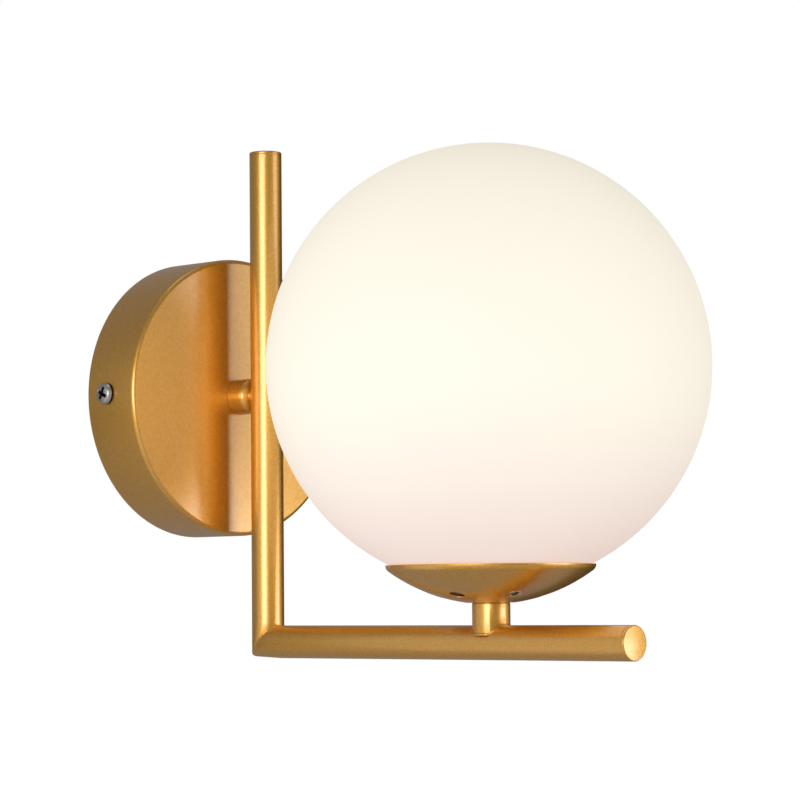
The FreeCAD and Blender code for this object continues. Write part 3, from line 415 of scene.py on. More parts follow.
def flat_master(radius, length, head_radius, pitch, material):
    """A countersunk screw along Z: its flat top at z = 0, the cone and shank below."""
    shank = radius - pitch * 0.3
    cone = head_radius - radius
    rim = 0.1
    outline = along([
        (0, -length), (shank - pitch * 0.3, -length), (shank, -length + pitch * 0.6), (shank, -cone - rim),
        (head_radius, -rim), (head_radius, 0, 0.06), (0, 0)])
    wings = crossed(head_radius * 0.42, head_radius * 1.55, 0.0, cone * 1.1)
    body = cut(turning(outline, 56), *wings)
    return threaded(body, material, shank, -length + pitch * 0.5, length - cone - rim - pitch, pitch)


setting = Growth("screw_setting")
aim = setting.node("InputNamedAttribute", {"data_type": "FLOAT_VECTOR"}, {"Name": "aim"})
facing = setting.node("FunctionNodeAlignRotationToVector", {"axis": "Z"}, {"Vector": aim})
spin = setting.node("FunctionNodeRandomValue", {"data_type": "FLOAT"},
                    {"Min": 0.0, "Max": math.pi / 2, "Seed": setting.input("Seed", "Int")}, output=1)
about = setting.node("FunctionNodeAxisAngleToRotation", {}, {"Axis": (0.0, 0.0, 1.0), "Angle": spin})
facing = setting.node("FunctionNodeRotateRotation", {"rotation_space": "LOCAL"},
                      {"Rotation": facing, "Rotate By": about})
master = setting.node("ObjectInfo", {}, {"Object": setting.input("Master", "Object")}, output="Geometry")
spots = setting.node("MeshToPoints", {}, {"Mesh": setting.ground})
setting.close(setting.node("InstanceOnPoints", {}, {
    "Points": spots, "Instance": master, "Rotation": facing}))


def set_screws(name, places, master_mesh, material, nodes, seed):
    """Set a master on every place, each given as (point in mm, direction its head faces)."""
    points = bpy.data.meshes.new("places")
    points.from_pydata([Vector(point) / 1000 for point, _ in places], [], [])
    aims = points.attributes.new("aim", "FLOAT_VECTOR", "POINT")
    aims.data.foreach_set("vector", [value for _, direction in places for value in direction])
    pattern = loose(master_mesh)
    mesh = setting.grow(points, Seed=seed, Master=pattern, Material=material)
    bpy.data.objects.remove(pattern)
    piece_of(name, mesh, None, "fixture", nodes, sharp=36.0)


SIDE_SCREW = -10.5
CANOPY_RADIUS = 52.0


def side_screw_painted_shade(finish):
    """Painted shade in the side screws' cross recesses, and painted shadow where their heads meet the canopy.
    """
    outwards = finish.node("ShaderNodeSeparateXYZ", {}, {0: finish.place}, output="X")
    outwards = finish.node("ShaderNodeMath", {"operation": "ABSOLUTE"}, {0: outwards})
    about_screw = finish.distance((0.0, SIDE_SCREW / 1000, 0.0), (0.0, 1.0, 1.0))
    # Painted shade: near-black inside each head's cross recess.
    recess = finish.fade(about_screw, 0.0029, 0.0031) * finish.fade(outwards, 0.0538, 0.0540)
    # The second mask adds painted shadow round the shanks, under the heads.
    return recess + finish.fade(outwards, 0.0526, 0.0529)


side_zinc = bright_zinc("bright_zinc_painted_shade", side_screw_painted_shade)
set_screws("side_screw_pair",
           [((-CANOPY_RADIUS, SIDE_SCREW, 0), (-1, 0, 0)), ((CANOPY_RADIUS, SIDE_SCREW, 0), (1, 0, 0))],
           screw_master(1.95, 8.0, 4.0, 2.4, 0.7, side_zinc), side_zinc, ["canopy_side_screws"],
           seed=4)
set_screws("block_fixing_pair", [((-15.3, -4.3, -27.5), (0, -1, 0)), ((15.3, -4.3, -27.5), (0, -1, 0))],
           screw_master(1.45, 4.2, 2.6, 1.7, 0.5, zinc), zinc, ["terminal_fixing_screws"], seed=5)
set_screws("earth_screw_brass", [((15.0, -4.3, 0), (0, -1, 0))],
           screw_master(1.95, 4.0, 3.6, 2.2, 0.7, brass), brass, ["earth_screw"], seed=7)

# Earth ring lug: tinned copper sheet, its ring stamped and its barrel rolled round the bared earth wire.
# The earth screw clamps the ring on the bracket's boss.


def tinned():
    finish = Finish("tinned_copper")
    dips = finish.noise(0.9, 3.0)
    tone = finish.mix(dips, (0.66, 0.64, 0.60), (0.80, 0.79, 0.77))
    return finish.surface(Base_Color=tone, Metallic=1.0, Roughness=0.24 + dips * 0.18,
                          Normal=finish.relief(dips, 0.02))


dressed("earth_ring_lug", "earth_lug_stamped", tinned(), edge_mm=0.08)

# Terminal block: three poles moulded in white nylon on one base, held on the bracket by two screws.
# Each pole holds a turned brass sleeve with two slotted screws of zinc-plated steel.


def moulded_white(name="white_nylon", tone=(0.84, 0.84, 0.81), gloss=0.42):
    finish = Finish(name)
    skin = finish.noise(0.4, 3.0)
    clouds = finish.noise(9.0, 2.0)
    shade = finish.mix(clouds, tuple(value * 0.95 for value in tone), tone)
    return finish.surface(Base_Color=shade, Roughness=gloss + skin * 0.12, Normal=finish.relief(skin, 0.01))


nylon = moulded_white()
dressed("terminal_block", "terminal_block_moulding", nylon, edge_mm=0.3)
dressed("terminal_sleeves", "terminal_sleeves_turned", brass, edge_mm=0.12)
dressed("terminal_screws", "terminal_screws_slotted", zinc, edge_mm=0.06)

# Canopy: a shell spun from thin steel, its front edge rolled over, sprayed in fine metallic gold.
# Two holes in its side let through the screws that hold it on the bracket.

CANOPY_DEPTH = 26.0
CANOPY_WALL = 1.0
OUT = Matrix(((1, 0, 0, 0), (0, 0, -1, 0), (0, 1, 0, 0), (0, 0, 0, 1)))


def cylinder(radius, low, high, place=Matrix(), steps=40):
    return turning([(0, low), (radius, low), (radius, high), (0, high)], steps, place)


def shifted(x, y, z, turn=Matrix()):
    return Matrix.Translation(Vector((x, y, z)) / 1000) @ turn


def gold_paint(name="metallic_gold_paint", painted_shade_mask=None):
    """Metallic gold under a clear coat. Where the optional shade mask says so, it is painted near-black with
    the coat left off, as painted shade.
    """
    finish = Finish(name)
    flakes = finish.grains(0.24)
    bright_flakes = finish.ramp(flakes, (0.0, 0.0), (0.66, 0.12), (1.0, 1.0))
    clumps = finish.ramp(finish.noise(0.75, 3.0), (0.38, 0.0), (0.62, 1.0))
    mist = finish.noise(6.0, 4.0)
    peel = finish.noise(1.3, 2.0)
    tone = finish.mix(mist, (0.76, 0.355, 0.010), (0.83, 0.400, 0.018))
    tone = finish.mix(clumps * 0.24 + bright_flakes * 0.20, tone, (1.0, 0.70, 0.24))
    # Painted shade: where this is 1, the colour goes near-black and the coat is taken off.
    shade_amount = painted_shade_mask(finish) if painted_shade_mask else 0.0
    if painted_shade_mask:
        tone = finish.mix(shade_amount, tone, (0.03, 0.025, 0.02))
    return finish.surface(Base_Color=tone, Metallic=0.97, Roughness=0.42 + flakes * 0.06,
                          Coat_Weight=1.0 - shade_amount, Coat_Roughness=0.19, Coat_IOR=1.80,
                          Normal=finish.relief(peel * 0.7 + flakes * 0.3, 0.006))


gold = gold_paint()
inner_radius = CANOPY_RADIUS - CANOPY_WALL
inner_depth = CANOPY_DEPTH - CANOPY_WALL
stem_bore = 5.2
canopy_shell = turning(along([
    (inner_radius, 0, 0.3), (CANOPY_RADIUS, 0, 0.3), (CANOPY_RADIUS, CANOPY_DEPTH, 1.8),
    (stem_bore, CANOPY_DEPTH), (stem_bore, inner_depth), (inner_radius, inner_depth, 0.8)],
    steps=8), 192, OUT)
side_holes = [
    cylinder(2.15, 45.0, 60.0, shifted(0, SIDE_SCREW, 0, Matrix.Rotation(side * math.pi / 2, 4, "Y")))
    for side in (-1, 1)]
piece_of("canopy_shell", cut(canopy_shell, *side_holes), gold, "fixture", ["canopy"],
         sharp=30.0)

# Canopy hardware: a hollow threaded nipple, a spring washer and a hexagon nut of zinc-plated steel.
# Together they draw the stem against the canopy's face, and the wires pass through the nipple.


def nipple_turned(length):
    bore, end, core = 3.75, 4.35, 4.6
    tube = turning(along([
        (bore, 0), (end, 0), (core, 0.4), (core, length - 0.4), (end, length), (bore, length)]), 72)
    return threaded(tube, zinc, core, 0.5, length - 1.0, 1.0)


def hung_out(mesh, height):
    """Lay a turning along -Y with its foot at y = -height."""
    mesh.transform(shifted(0, -height, 0, OUT))
    return mesh


piece_of("canopy_nipple_threaded", hung_out(nipple_turned(12.9), 19.1), None, "fixture", ["canopy_nipple"])
dressed("canopy_lock_washer", "canopy_spring_washer", zinc, edge_mm=0.15)
dressed("canopy_lock_nut", "canopy_hexagon_nut", zinc, edge_mm=0.35)

# Wall stem: a short collar turned from steel bar, between the canopy's face and the upright.
# It is tapped for the nipple, its nose is brazed into the upright, and it is painted with the frame.

STEM_RADIUS = 6.6
NOSE_RADIUS = 4.0
WIRE_BORE = 3.2
shoulder = [(NOSE_RADIUS + across, rise) for across, rise in arc(6.4, STEM_RADIUS - NOSE_RADIUS, 0, 90, 8)]
stem_collar = turning(
    [(5.0, 0), (STEM_RADIUS - 0.2, 0), (STEM_RADIUS, 0.2)] + shoulder
    + [(NOSE_RADIUS - 0.03, 11.2), (WIRE_BORE, 11.2), (WIRE_BORE, 6.5), (5.0, 6.5)])
piece_of("stem_collar", hung_out(stem_collar, CANOPY_DEPTH), gold, "fixture", ["wall_stem"])

# The L of round steel tube: upright and arm are sawn at 45 degrees, welded, ground and painted.
# A thin bead of the weld still shows along the seam, and the outer corner is slightly rubbed round.
# The upright has a hole for the stem's nose, the arm one for the wires to the cup.

CORNER = (0.0, -41.0, -91.5)
POST_FOOT = (0.0, -154.0, -91.5)
TUBE = 6.0
BORE = 5.0


def mitred_tube(length, upright):
    """A tube from the mitre at the corner, straight up or straight out along -Y."""
    steps = 96
    work = bmesh.new()

    def ring(radius, beyond, on_mitre):
        made = []
        for step in range(steps):
            turn = 2 * math.pi * step / steps
            side, depth = math.cos(turn), math.sin(turn)
            rubbed = 0.55 * max(0.0, (depth - 0.7) / 0.3) ** 1.5 if on_mitre else 0.0
            reach = radius - rubbed
            start = beyond - depth * reach if on_mitre else beyond
            across = depth * reach
            if upright:
                point = (side * reach, CORNER[1] + across, CORNER[2] + start)
            else:
                point = (side * reach, CORNER[1] - start, CORNER[2] - across)
            made.append(work.verts.new(Vector(point) / 1000))
        return made

    edge = 0.15
    rings = [ring(TUBE - 0.14, 0.0, True), ring(TUBE - 0.03, 0.06, True), ring(TUBE, 0.2, True)]
    rings += [ring(TUBE, value, False) for value in (7.5, length * 0.5, length - edge)]
    rings += [ring(TUBE - edge, length, False), ring(BORE, length, False), ring(BORE, 6.5, False),
              ring(BORE, 0.0, True)]
    for first, second in zip(rings, rings[1:] + rings[:1]):
        for index in range(steps):
            onward = (index + 1) % steps
            work.faces.new((first[index], first[onward], second[onward], second[index]))
    bmesh.ops.recalc_face_normals(work, faces=work.faces)
    mesh = bpy.data.meshes.new("tube")
    work.to_mesh(mesh)
    work.free()
    return mesh


def bead(path, thickness):
    """A closed bead of weld along a path in mm, as thick at each point as told."""
    sides = 12
    work = bmesh.new()
    rings = []
    for index, point in enumerate(path):
        ahead = (Vector(path[(index + 1) % len(path)]) - Vector(path[index - 1])).normalized()
        side = ahead.cross(Vector((0, 0, 1))).normalized()
        up = side.cross(ahead)
        turns = [turn * math.pi * 2 / sides for turn in range(sides)]
        rings.append([work.verts.new(
            (Vector(point) + thickness[index] * (side * math.cos(turn) + up * math.sin(turn))) / 1000)
            for turn in turns])
    for first, second in zip(rings, rings[1:] + rings[:1]):
        for index in range(sides):
            onward = (index + 1) % sides
            work.faces.new((first[index], first[onward], second[onward], second[index]))
    bmesh.ops.recalc_face_normals(work, faces=work.faces)
    mesh = bpy.data.meshes.new("bead")
    work.to_mesh(mesh)
    work.free()
    return mesh


def together(*meshes):
    """All the meshes as one, each still whole in itself."""
    work = bmesh.new()
    for mesh in meshes:
        work.from_mesh(mesh)
    work.to_mesh(meshes[0])
    work.free()
    return meshes[0]


# The seam lies in the mitre's plane. It sinks and thins towards the outer corner, where it was ground most.
seam = []
seam_thickness = []
for step in range(120):
    side, depth = math.cos(math.radians(3 * step)), math.sin(math.radians(3 * step))
    reach = TUBE - 0.08 - 0.85 * max(0.0, depth - 0.2)
    seam.append((side * reach, CORNER[1] + depth * reach, CORNER[2] - depth * reach))
    seam_thickness.append(0.34 * min(1.0, max(0.3, (0.7 - depth) / 0.5)))
upright_length = 181.3
nose_hole = cylinder(NOSE_RADIUS, 0.0, 8.0, shifted(0, CORNER[1], 0, Matrix.Rotation(-math.pi / 2, 4, "X")))
upright = together(cut(mitred_tube(upright_length, True), nose_hole), bead(seam, seam_thickness))
piece_of("upright_mitred", upright, gold, "fixture", ["upright_tube"], sharp=38.0)
arm_length = 176.3
post_hole = cylinder(NOSE_RADIUS, 0.0, 8.0, shifted(*POST_FOOT))
piece_of("arm_mitred", cut(mitred_tube(arm_length, False), post_hole), gold, "fixture", ["arm_tube"],
         sharp=38.0)

# End caps: discs turned from steel bar, their spigots pressed into both open ends of the tube.
# They are painted with the frame, and a fine joint still shows round each.


def cap_turned(place):
    spigot, thick = 4.95, 1.2
    return turning(along([
        (0, -5.2), (4.6, -5.2), (spigot, -4.85), (spigot, -thick), (TUBE - 0.12, -thick),
        (TUBE, -1.05), (TUBE, 0, 0.4), (0, 0)]), place=place)


upright_top, arm_end = 91.0, -218.5
piece_of("upright_cap_turned", cap_turned(shifted(0, CORNER[1], upright_top)), gold, "fixture",
         ["upright_end_cap"])
piece_of("arm_cap_turned", cap_turned(shifted(0, arm_end, CORNER[2], OUT)), gold, "fixture",
         ["arm_end_cap"])

# Cup post: a collar turned from steel bar, tapped for the cup's nipple and painted with the frame.
# Its foot straddles the arm, and a bead of braze runs round the foot.

ON_POST = shifted(*POST_FOOT)
POST_RADIUS = 6.6
POST_TOP = 13.7
post_collar = turning(along([
    (WIRE_BORE, 3.1), (POST_RADIUS, 3.1, 0.3), (POST_RADIUS, POST_TOP, 0.4), (5.0, POST_TOP), (5.0, 7.2),
    (WIRE_BORE, 7.2)]))
saddle = cylinder(TUBE + 0.03, -20, 20, Matrix.Rotation(math.pi / 2, 4, "X"), 96)
post_collar = broken_edges(cut(post_collar, saddle), 0.22, 42.0)
# The bead follows the arm's round top, and eases over where the post is wider than the arm.
foot = []
for step in range(144):
    turn = math.radians(2.5 * step)
    side, along_arm = math.cos(turn) * (POST_RADIUS + 0.1), math.sin(turn) * (POST_RADIUS + 0.1)
    foot.append((side, along_arm, (2.85 ** 6 + max(0.0, TUBE ** 2 - side ** 2) ** 3) ** (1 / 6)))
post_collar = together(post_collar, bead(foot, [0.42] * len(foot)))
post_collar.transform(ON_POST)
piece_of("post_collar", post_collar, gold, "fixture", ["cup_post"], sharp=30.0)

# Cup: a shallow dish spun from thin steel and turned up at the rim, painted gold outside, with near-black
# painted shade inside.
# Three countersunk screws of yellow zinc hold the globe's clips in it, and three vents lie between them.

DISH = 60.0
DISH_WALL = 1.0
CUP_RADIUS = 36.3
CORNER_ROUND = 2.6
FLAT = 8.0
DISH_CENTRE = POST_TOP + math.sqrt(DISH ** 2 - FLAT ** 2)
CORNER_OUT = CUP_RADIUS - CORNER_ROUND
CORNER_DROP = math.sqrt((DISH - CORNER_ROUND) ** 2 - CORNER_OUT ** 2)
RIM = DISH_CENTRE - CORNER_DROP
SLOPE = math.asin(19.5 / DISH)


def dish_points(radius, flat, steps=28):
    """The dish's curve from its flat middle to the rim's corner."""
    first = math.asin(flat / radius)
    last = math.atan2(CORNER_OUT, CORNER_DROP)
    angles = [first + (last - first) * step / steps for step in range(steps + 1)]
    return [(radius * math.sin(angle), DISH_CENTRE - radius * math.cos(angle)) for angle in angles]


def corner_points(radius, steps=8):
    """The rounded corner, from the dish's curve to upright at the rim."""
    first = math.atan2(CORNER_OUT, CORNER_DROP)
    angles = [first + (math.pi / 2 - first) * step / steps for step in range(1, steps + 1)]
    return [(CORNER_OUT + radius * math.sin(angle), RIM - radius * math.cos(angle)) for angle in angles]


def by_heading(heading):
    """From a drilling straight along Z at the dish's centre to the screw circle at this heading."""
    middle = Matrix.Translation((0, 0, DISH_CENTRE / 1000))
    return (ON_POST @ Matrix.Rotation(math.radians(heading), 4, "Z") @ middle
            @ Matrix.Rotation(-SLOPE, 4, "Y"))


def above_post(height):
    """A point straight above the post's foot, in metres for a finish."""
    return POST_FOOT[0] / 1000, POST_FOOT[1] / 1000, (height + POST_FOOT[2]) / 1000


cup_outline = (
    [(5.2, POST_TOP)] + dish_points(DISH, FLAT) + corner_points(CORNER_ROUND)
    + [(CUP_RADIUS - 0.06, RIM + 0.1), (CUP_RADIUS - 0.5, RIM + 0.1)]
    + corner_points(CORNER_ROUND - DISH_WALL)[::-1] + dish_points(DISH - DISH_WALL, 7.6)[::-1]
    + [(5.2, POST_TOP + DISH_WALL)])
cup_dish = turning(cup_outline, 192, ON_POST)
headings = [247.0, 7.0, 127.0]
under, over = -63.0, -56.0
vent, thinned = 2.75, 3.7
vent_cutter = [(0, under), (vent, under), (vent, -59.6), (thinned, -59.3), (thinned, over), (0, over)]
drills = [cylinder(1.95, under, over, by_heading(heading)) for heading in headings]
drills += [turning(vent_cutter, 40, by_heading(heading - 60.0)) for heading in headings]
drills += [turning([(0, -60.6), (3.8, -60.6), (0, -56.8)], 40, by_heading(heading)) for heading in headings]


def dish_inside_shade(finish):
    """The dish's hollow side, where the colour is painted near-black as painted shade, so that the vents look
    dark.
    """
    depth = finish.distance(above_post(DISH_CENTRE))
    across = finish.distance((0.0, POST_FOOT[1] / 1000, 0.0), (1.0, 1.0, 0.0))
    return finish.fade(depth, 0.0593, 0.0596) * finish.fade(across, 0.0325, 0.0330)


# The cup's paint carries near-black painted shade on the dish's inner side.
cup_paint = gold_paint("metallic_gold_paint_shade_inside", dish_inside_shade)
piece_of("cup_dish", broken_edges(cut(cup_dish, *drills), 0.20, 50.0), cup_paint, "fixture", ["cup"],
         sharp=30.0)
screw_places = []
for heading in headings:
    seat = by_heading(heading) @ Vector((0, 0, -DISH / 1000))
    outward = (by_heading(heading).to_3x3() @ Vector((0, 0, -1))).normalized()
    screw_places.append((seat * 1000, outward))


def yellow_zinc():
    """Yellow zinc plating, with painted shade in the screws' recesses, which lie inside the dish's curve."""
    finish = Finish("yellow_passivated_zinc")
    clouds = finish.noise(1.5, 3.0)
    fine = finish.noise(0.25, 2.0)
    tone = finish.mix(clouds, (0.80, 0.60, 0.32), (0.92, 0.76, 0.50))
    # Painted shade: near-black where the surface lies inside the dish's curve, which is in the cross
    # recesses.
    recess = finish.fade(finish.distance(above_post(DISH_CENTRE)), 0.0595, 0.0599)
    tone = finish.mix(recess, tone, (0.03, 0.022, 0.015))
    return finish.surface(Base_Color=tone, Metallic=1.0, Roughness=0.20 + fine * 0.12)


yellow = yellow_zinc()
set_screws("cup_screw_trio", screw_places, flat_master(1.75, 6.5, 3.0, 0.6, yellow), yellow, ["cup_screws"],
           seed=11)

# Cup hardware: a longer hollow nipple of zinc-plated steel, with its spring washer and hexagon nut.
# It joins post, cup and lampholder, and the wires pass through it.

cup_nipple = nipple_turned(16.9)
cup_nipple.transform(shifted(0, POST_FOOT[1], -83.8))
piece_of("cup_nipple_threaded", cup_nipple, None, "fixture", ["cup_nipple"])
dressed("cup_lock_washer", "cup_spring_washer", zinc, edge_mm=0.15)
dressed("cup_lock_nut", "cup_hexagon_nut", zinc, edge_mm=0.35)

# Globe clips: three leaf springs of bright steel strip that grip the globe's mouth from inside.
# The cup's screws and three small nuts hold them down.


def spring_steel():
    finish = Finish("spring_steel")
    drawn = finish.noise(0.3, 3.0, finish.stretched((1.0, 1.0, 0.15)))
    tone = finish.mix(drawn, (0.46, 0.47, 0.49), (0.64, 0.65, 0.67))
    return finish.surface(Base_Color=tone, Metallic=1.0, Roughness=0.22 + drawn * 0.16,
                          Normal=finish.relief(drawn, 0.008))


dressed("globe_clips", "globe_clip_trio", spring_steel(), edge_mm=0.08)
dressed("clip_nuts", "clip_nut_trio", zinc, edge_mm=0.2)

# Globe: mouth-blown opal glass, white right through, with a satin skin and a ground mouth.
# The lamp inside makes it glow a warm white.

GLOBE_CENTRE = 95.4
GLOBE_RADIUS = 77.0
GLASS = 3.0
MOUTH = 29.0
MOUTH_OUT = math.degrees(math.acos(MOUTH / GLOBE_RADIUS))
MOUTH_IN = math.degrees(math.acos(MOUTH / (GLOBE_RADIUS - GLASS)))


def opal_glass():
    """White glass, lit from inside: warm above, pinker low down, dim in the hollow and dark at the neck."""
    finish = Finish("opal_glass")
    swirl = finish.noise(60.0, 2.0)
    seeds = finish.noise(0.7, 2.0)
    height = finish.node("ShaderNodeSeparateXYZ", {}, {0: finish.place}, output="Z")
    low = finish.node("ShaderNodeMapRange", {"interpolation_type": "SMOOTHSTEP"},
                      {"Value": height, "From Min": -0.070, "From Max": 0.0, "To Min": 1.0, "To Max": 0.0})
    neck = finish.fade(height, -0.069, -0.066)
    glow = finish.mix(low, (1.0, 0.925, 0.75), (0.88, 0.66, 0.60))
    glow = finish.mix(neck, glow, (0.0, 0.0, 0.0))
    hollow = finish.fade(finish.distance(above_post(GLOBE_CENTRE)), 0.0750, 0.0760)
    glow = finish.mix(hollow * 0.6, glow, (0.0, 0.0, 0.0))
    tone = finish.mix(swirl, (0.60, 0.59, 0.57), (0.63, 0.62, 0.60))
    return finish.surface(Base_Color=tone, Roughness=0.55 + seeds * 0.06, Emission_Color=glow,
                          Emission_Strength=0.59, Specular_IOR_Level=0.3,
                          Normal=finish.relief(swirl, 0.25, 0.3))


ground_off = 0.25
globe_shell = turning(arc(GLOBE_CENTRE, GLOBE_RADIUS, -MOUTH_OUT + ground_off, 90, 96)
                      + arc(GLOBE_CENTRE, GLOBE_RADIUS - GLASS, 90, -MOUTH_IN + ground_off, 72), 192, ON_POST)
piece_of("globe_shell", globe_shell, opal_glass(), "globe_body", ["globe"], sharp=50.0)

# Seat ring: a closed ring of clear silicone cord, moulded round and laid loose in the cup's rim.
# The globe rests on it, so that glass and steel don't touch.

ring_low, ring_high, ring_left, ring_right = [value * 1000 for value in (
    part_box("globe_seat_ring")[0][2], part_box("globe_seat_ring")[1][2],
    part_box("globe_seat_ring")[0][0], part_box("globe_seat_ring")[1][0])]
ring_half = (ring_high - ring_low) / 2
ring_middle = (ring_right - ring_left) / 2 - ring_half
ring_outline = [(ring_middle + ring_half * math.cos(math.radians(turn)),
                 ring_low + ring_half + ring_half * math.sin(math.radians(turn)))
                for turn in range(0, 360, 30)]


def silicone():
    finish = Finish("clear_silicone")
    dust = finish.noise(0.8, 3.0)
    tone = finish.mix(dust, (0.78, 0.78, 0.75), (0.86, 0.86, 0.84))
    return finish.surface(Base_Color=tone, Roughness=0.38 + dust * 0.2)


piece_of("seat_ring_cord", turning(ring_outline, 160, shifted(0, POST_FOOT[1], 0)), silicone(), "fixture",
         ["globe_seat_ring"])

# Lampholder: two mouldings of white heat-proof plastic with grip ribs round the base.
# Inside are a ceramic insert, a brass screw shell, a contact tongue and two terminal screws.

holder_plastic = moulded_white("white_heatproof_plastic", (0.82, 0.81, 0.77), 0.36)
ribbing = Growth("grip_ribs")
circle = ribbing.node("MeshCircle", {"fill_type": "NONE"}, {"Vertices": ribbing.input("Count", "Int"),
                                                            "Radius": ribbing.input("Radius")})
aim_out = ribbing.node("FunctionNodeAlignRotationToVector", {"axis": "X"},
                       {"Vector": ribbing.node("InputPosition")})
rib = ribbing.node("MeshCylinder", {}, {"Vertices": 10, "Radius": ribbing.input("Rib"),
                                        "Depth": ribbing.input("Length")}, output="Mesh")
ribs = ribbing.node("InstanceOnPoints", {}, {"Points": circle, "Instance": rib, "Rotation": aim_out})
raised = ribbing.node("Transform", {}, {"Geometry": ribs, "Translation": ribbing.input("Middle", "Vector")})
ribbing.close(ribbing.node("JoinGeometry", {}, {"Geometry": [ribbing.ground, raised]}))

HOLDER_RADIUS = 13.5
BASE_TOP = 35.6
base_moulding = turning(along([
    (5.0, 18.6), (8.0, 18.6, 0.3), (HOLDER_RADIUS, 23.0, 0.6), (HOLDER_RADIUS, BASE_TOP, 0.3),
    (11.9, BASE_TOP), (11.9, 25.1), (5.0, 25.1)]))
base_moulding = ribbing.grow(base_moulding, Count=36, Radius=0.0131, Rib=0.00055, Length=0.0095,
                             Middle=(0.0, 0.0, 0.0296), Material=holder_plastic)
base_moulding.transform(ON_POST)
piece_of("holder_base_moulding", base_moulding, None, "fixture", ["lampholder_base"])
body_moulding = turning(along([
    (10.2, 31.6), (11.8, 31.6), (11.8, BASE_TOP), (HOLDER_RADIUS, BASE_TOP, 0.25), (HOLDER_RADIUS, 65.1, 0.8),
    (8.7, 65.1, 0.4), (8.7, 37.7), (10.2, 37.7)]), place=ON_POST)
piece_of("holder_body_moulding", body_moulding, holder_plastic, "fixture", ["lampholder_body"])


def steatite():
    finish = Finish("unglazed_ceramic")
    grit = finish.noise(0.3, 4.0)
    tone = finish.mix(grit, (0.74, 0.72, 0.66), (0.84, 0.82, 0.77))
    return finish.surface(Base_Color=tone, Roughness=0.6 + grit * 0.2, Normal=finish.relief(grit, 0.03))


dressed("lampholder_insert", "holder_insert_ceramic", steatite(), edge_mm=0.2)
dressed("lampholder_terminal_screws", "holder_terminal_screws_turned", brass, edge_mm=0.1)
shell_drawn = turning(along([
    (7.0, 37.6), (8.6, 37.6), (8.6, 38.1), (7.5, 38.1), (7.5, 64.3), (7.0, 64.3)]), 72, ON_POST)
piece_of("holder_shell_drawn", shell_drawn, brass, "fixture", ["lampholder_screw_shell"])
dressed("lampholder_contact", "holder_contact_tongue", brass, edge_mm=0.08)

# Lamp: a small screw-base lamp. Its contact pip, black insulator and bright rolled cap go into the holder.
# Above them a white housing carries a milky dome.


def solder():
    finish = Finish("solder")
    pools = finish.noise(0.8, 2.0)
    tone = finish.mix(pools, (0.60, 0.60, 0.60), (0.76, 0.76, 0.77))
    return finish.surface(Base_Color=tone, Metallic=1.0, Roughness=0.28 + pools * 0.15,
                          Normal=finish.relief(pools, 0.05))


def black_glass():
    finish = Finish("black_insulator")
    ripple = finish.noise(1.2, 2.0)
    tone = finish.mix(ripple, (0.015, 0.015, 0.017), (0.035, 0.035, 0.038))
    return finish.surface(Base_Color=tone, Roughness=0.12 + ripple * 0.1)


def thin_bright_sheet():
    finish = Finish("thin_bright_sheet")
    rolled = finish.noise(0.5, 3.0, finish.stretched((0.2, 0.2, 1.0)))
    tone = finish.mix(rolled, (0.66, 0.66, 0.66), (0.80, 0.80, 0.80))
    return finish.surface(Base_Color=tone, Metallic=1.0, Roughness=0.18 + rolled * 0.12)


def milky_diffuser():
    finish = Finish("milky_diffuser")
    clouds = finish.noise(8.0, 2.0)
    tone = finish.mix(clouds, (0.88, 0.87, 0.83), (0.92, 0.91, 0.87))
    return finish.surface(Base_Color=tone, Roughness=0.45 + clouds * 0.1,
                          Emission_Color=(1.0, 0.93, 0.80, 1.0), Emission_Strength=0.35)


contact_pip = turning(along([
    (0, 40.9), (1.6, 40.9, 0.4), (2.4, 41.5, 0.3), (2.4, 42.1), (0, 42.1)]), 48, ON_POST)
piece_of("lamp_contact_pip", contact_pip, solder(), "lamp_contact_body", ["lamp_contact"])
insulator = turning(along([(0, 42.1), (2.9, 42.1, 0.3), (4.9, 44.6), (0, 44.6)]), 64, ON_POST)
piece_of("lamp_insulator_cone", insulator, black_glass(), "lamp_body", ["lamp_insulator"])
cap_metal = thin_bright_sheet()
rolled_cap = turning(along([
    (0, 44.6), (4.9, 44.6), (6.2, 46.4, 0.5), (6.2, 63.6), (6.9, 64.6, 0.3), (6.9, 65.3), (0, 65.3)]), 72)
cap_pitch = 2.822
rolled_cap = threaded(rolled_cap, cap_metal, 6.1, 47.6, 15.0, cap_pitch, ridge=0.8, sides=12)
rolled_cap.transform(ON_POST)
piece_of("lamp_cap_rolled", rolled_cap, None, "lamp_body", ["lamp_cap"], sharp=50.0)
dressed("lamp_housing", "lamp_housing_moulding", moulded_white("lamp_white", (0.87, 0.87, 0.85), 0.34),
        body="lamp_body", sharp=24.0)
dressed("lamp_dome", "lamp_dome_diffuser", milky_diffuser(), body="lamp_body", sharp=24.0)

# Wires: stranded copper in thin coloured insulation. Live and neutral run from the block through stem,
# upright, arm and post to the lampholder's insert, and the striped earth wire runs to its lug.


def insulation(name, tone, stripe=None):
    finish = Finish(name)
    skin = finish.noise(0.6, 2.0)
    shade = finish.mix(skin, tuple(value * 0.85 for value in tone), tone)
    if stripe:
        wave = finish.node("ShaderNodeTexWave", {"wave_type": "BANDS", "bands_direction": "X"},
                           {"Vector": finish.place, "Scale": 260.0}, output="Fac")
        shade = finish.mix(finish.ramp(wave, (0.62, 0.0), (0.70, 1.0)), shade, stripe)
    return finish.surface(Base_Color=shade, Roughness=0.34 + skin * 0.1)


for wire, tone, stripe, slot in (
        ("live_wire", (0.17, 0.07, 0.03), None, "brown_insulation"),
        ("neutral_wire", (0.04, 0.17, 0.52), None, "blue_insulation"),
        ("earth_wire", (0.14, 0.38, 0.06), (0.80, 0.68, 0.05), "green_insulation")):
    dressed(wire, f"{wire}_insulated", insulation(slot, tone, stripe), sharp=40.0)

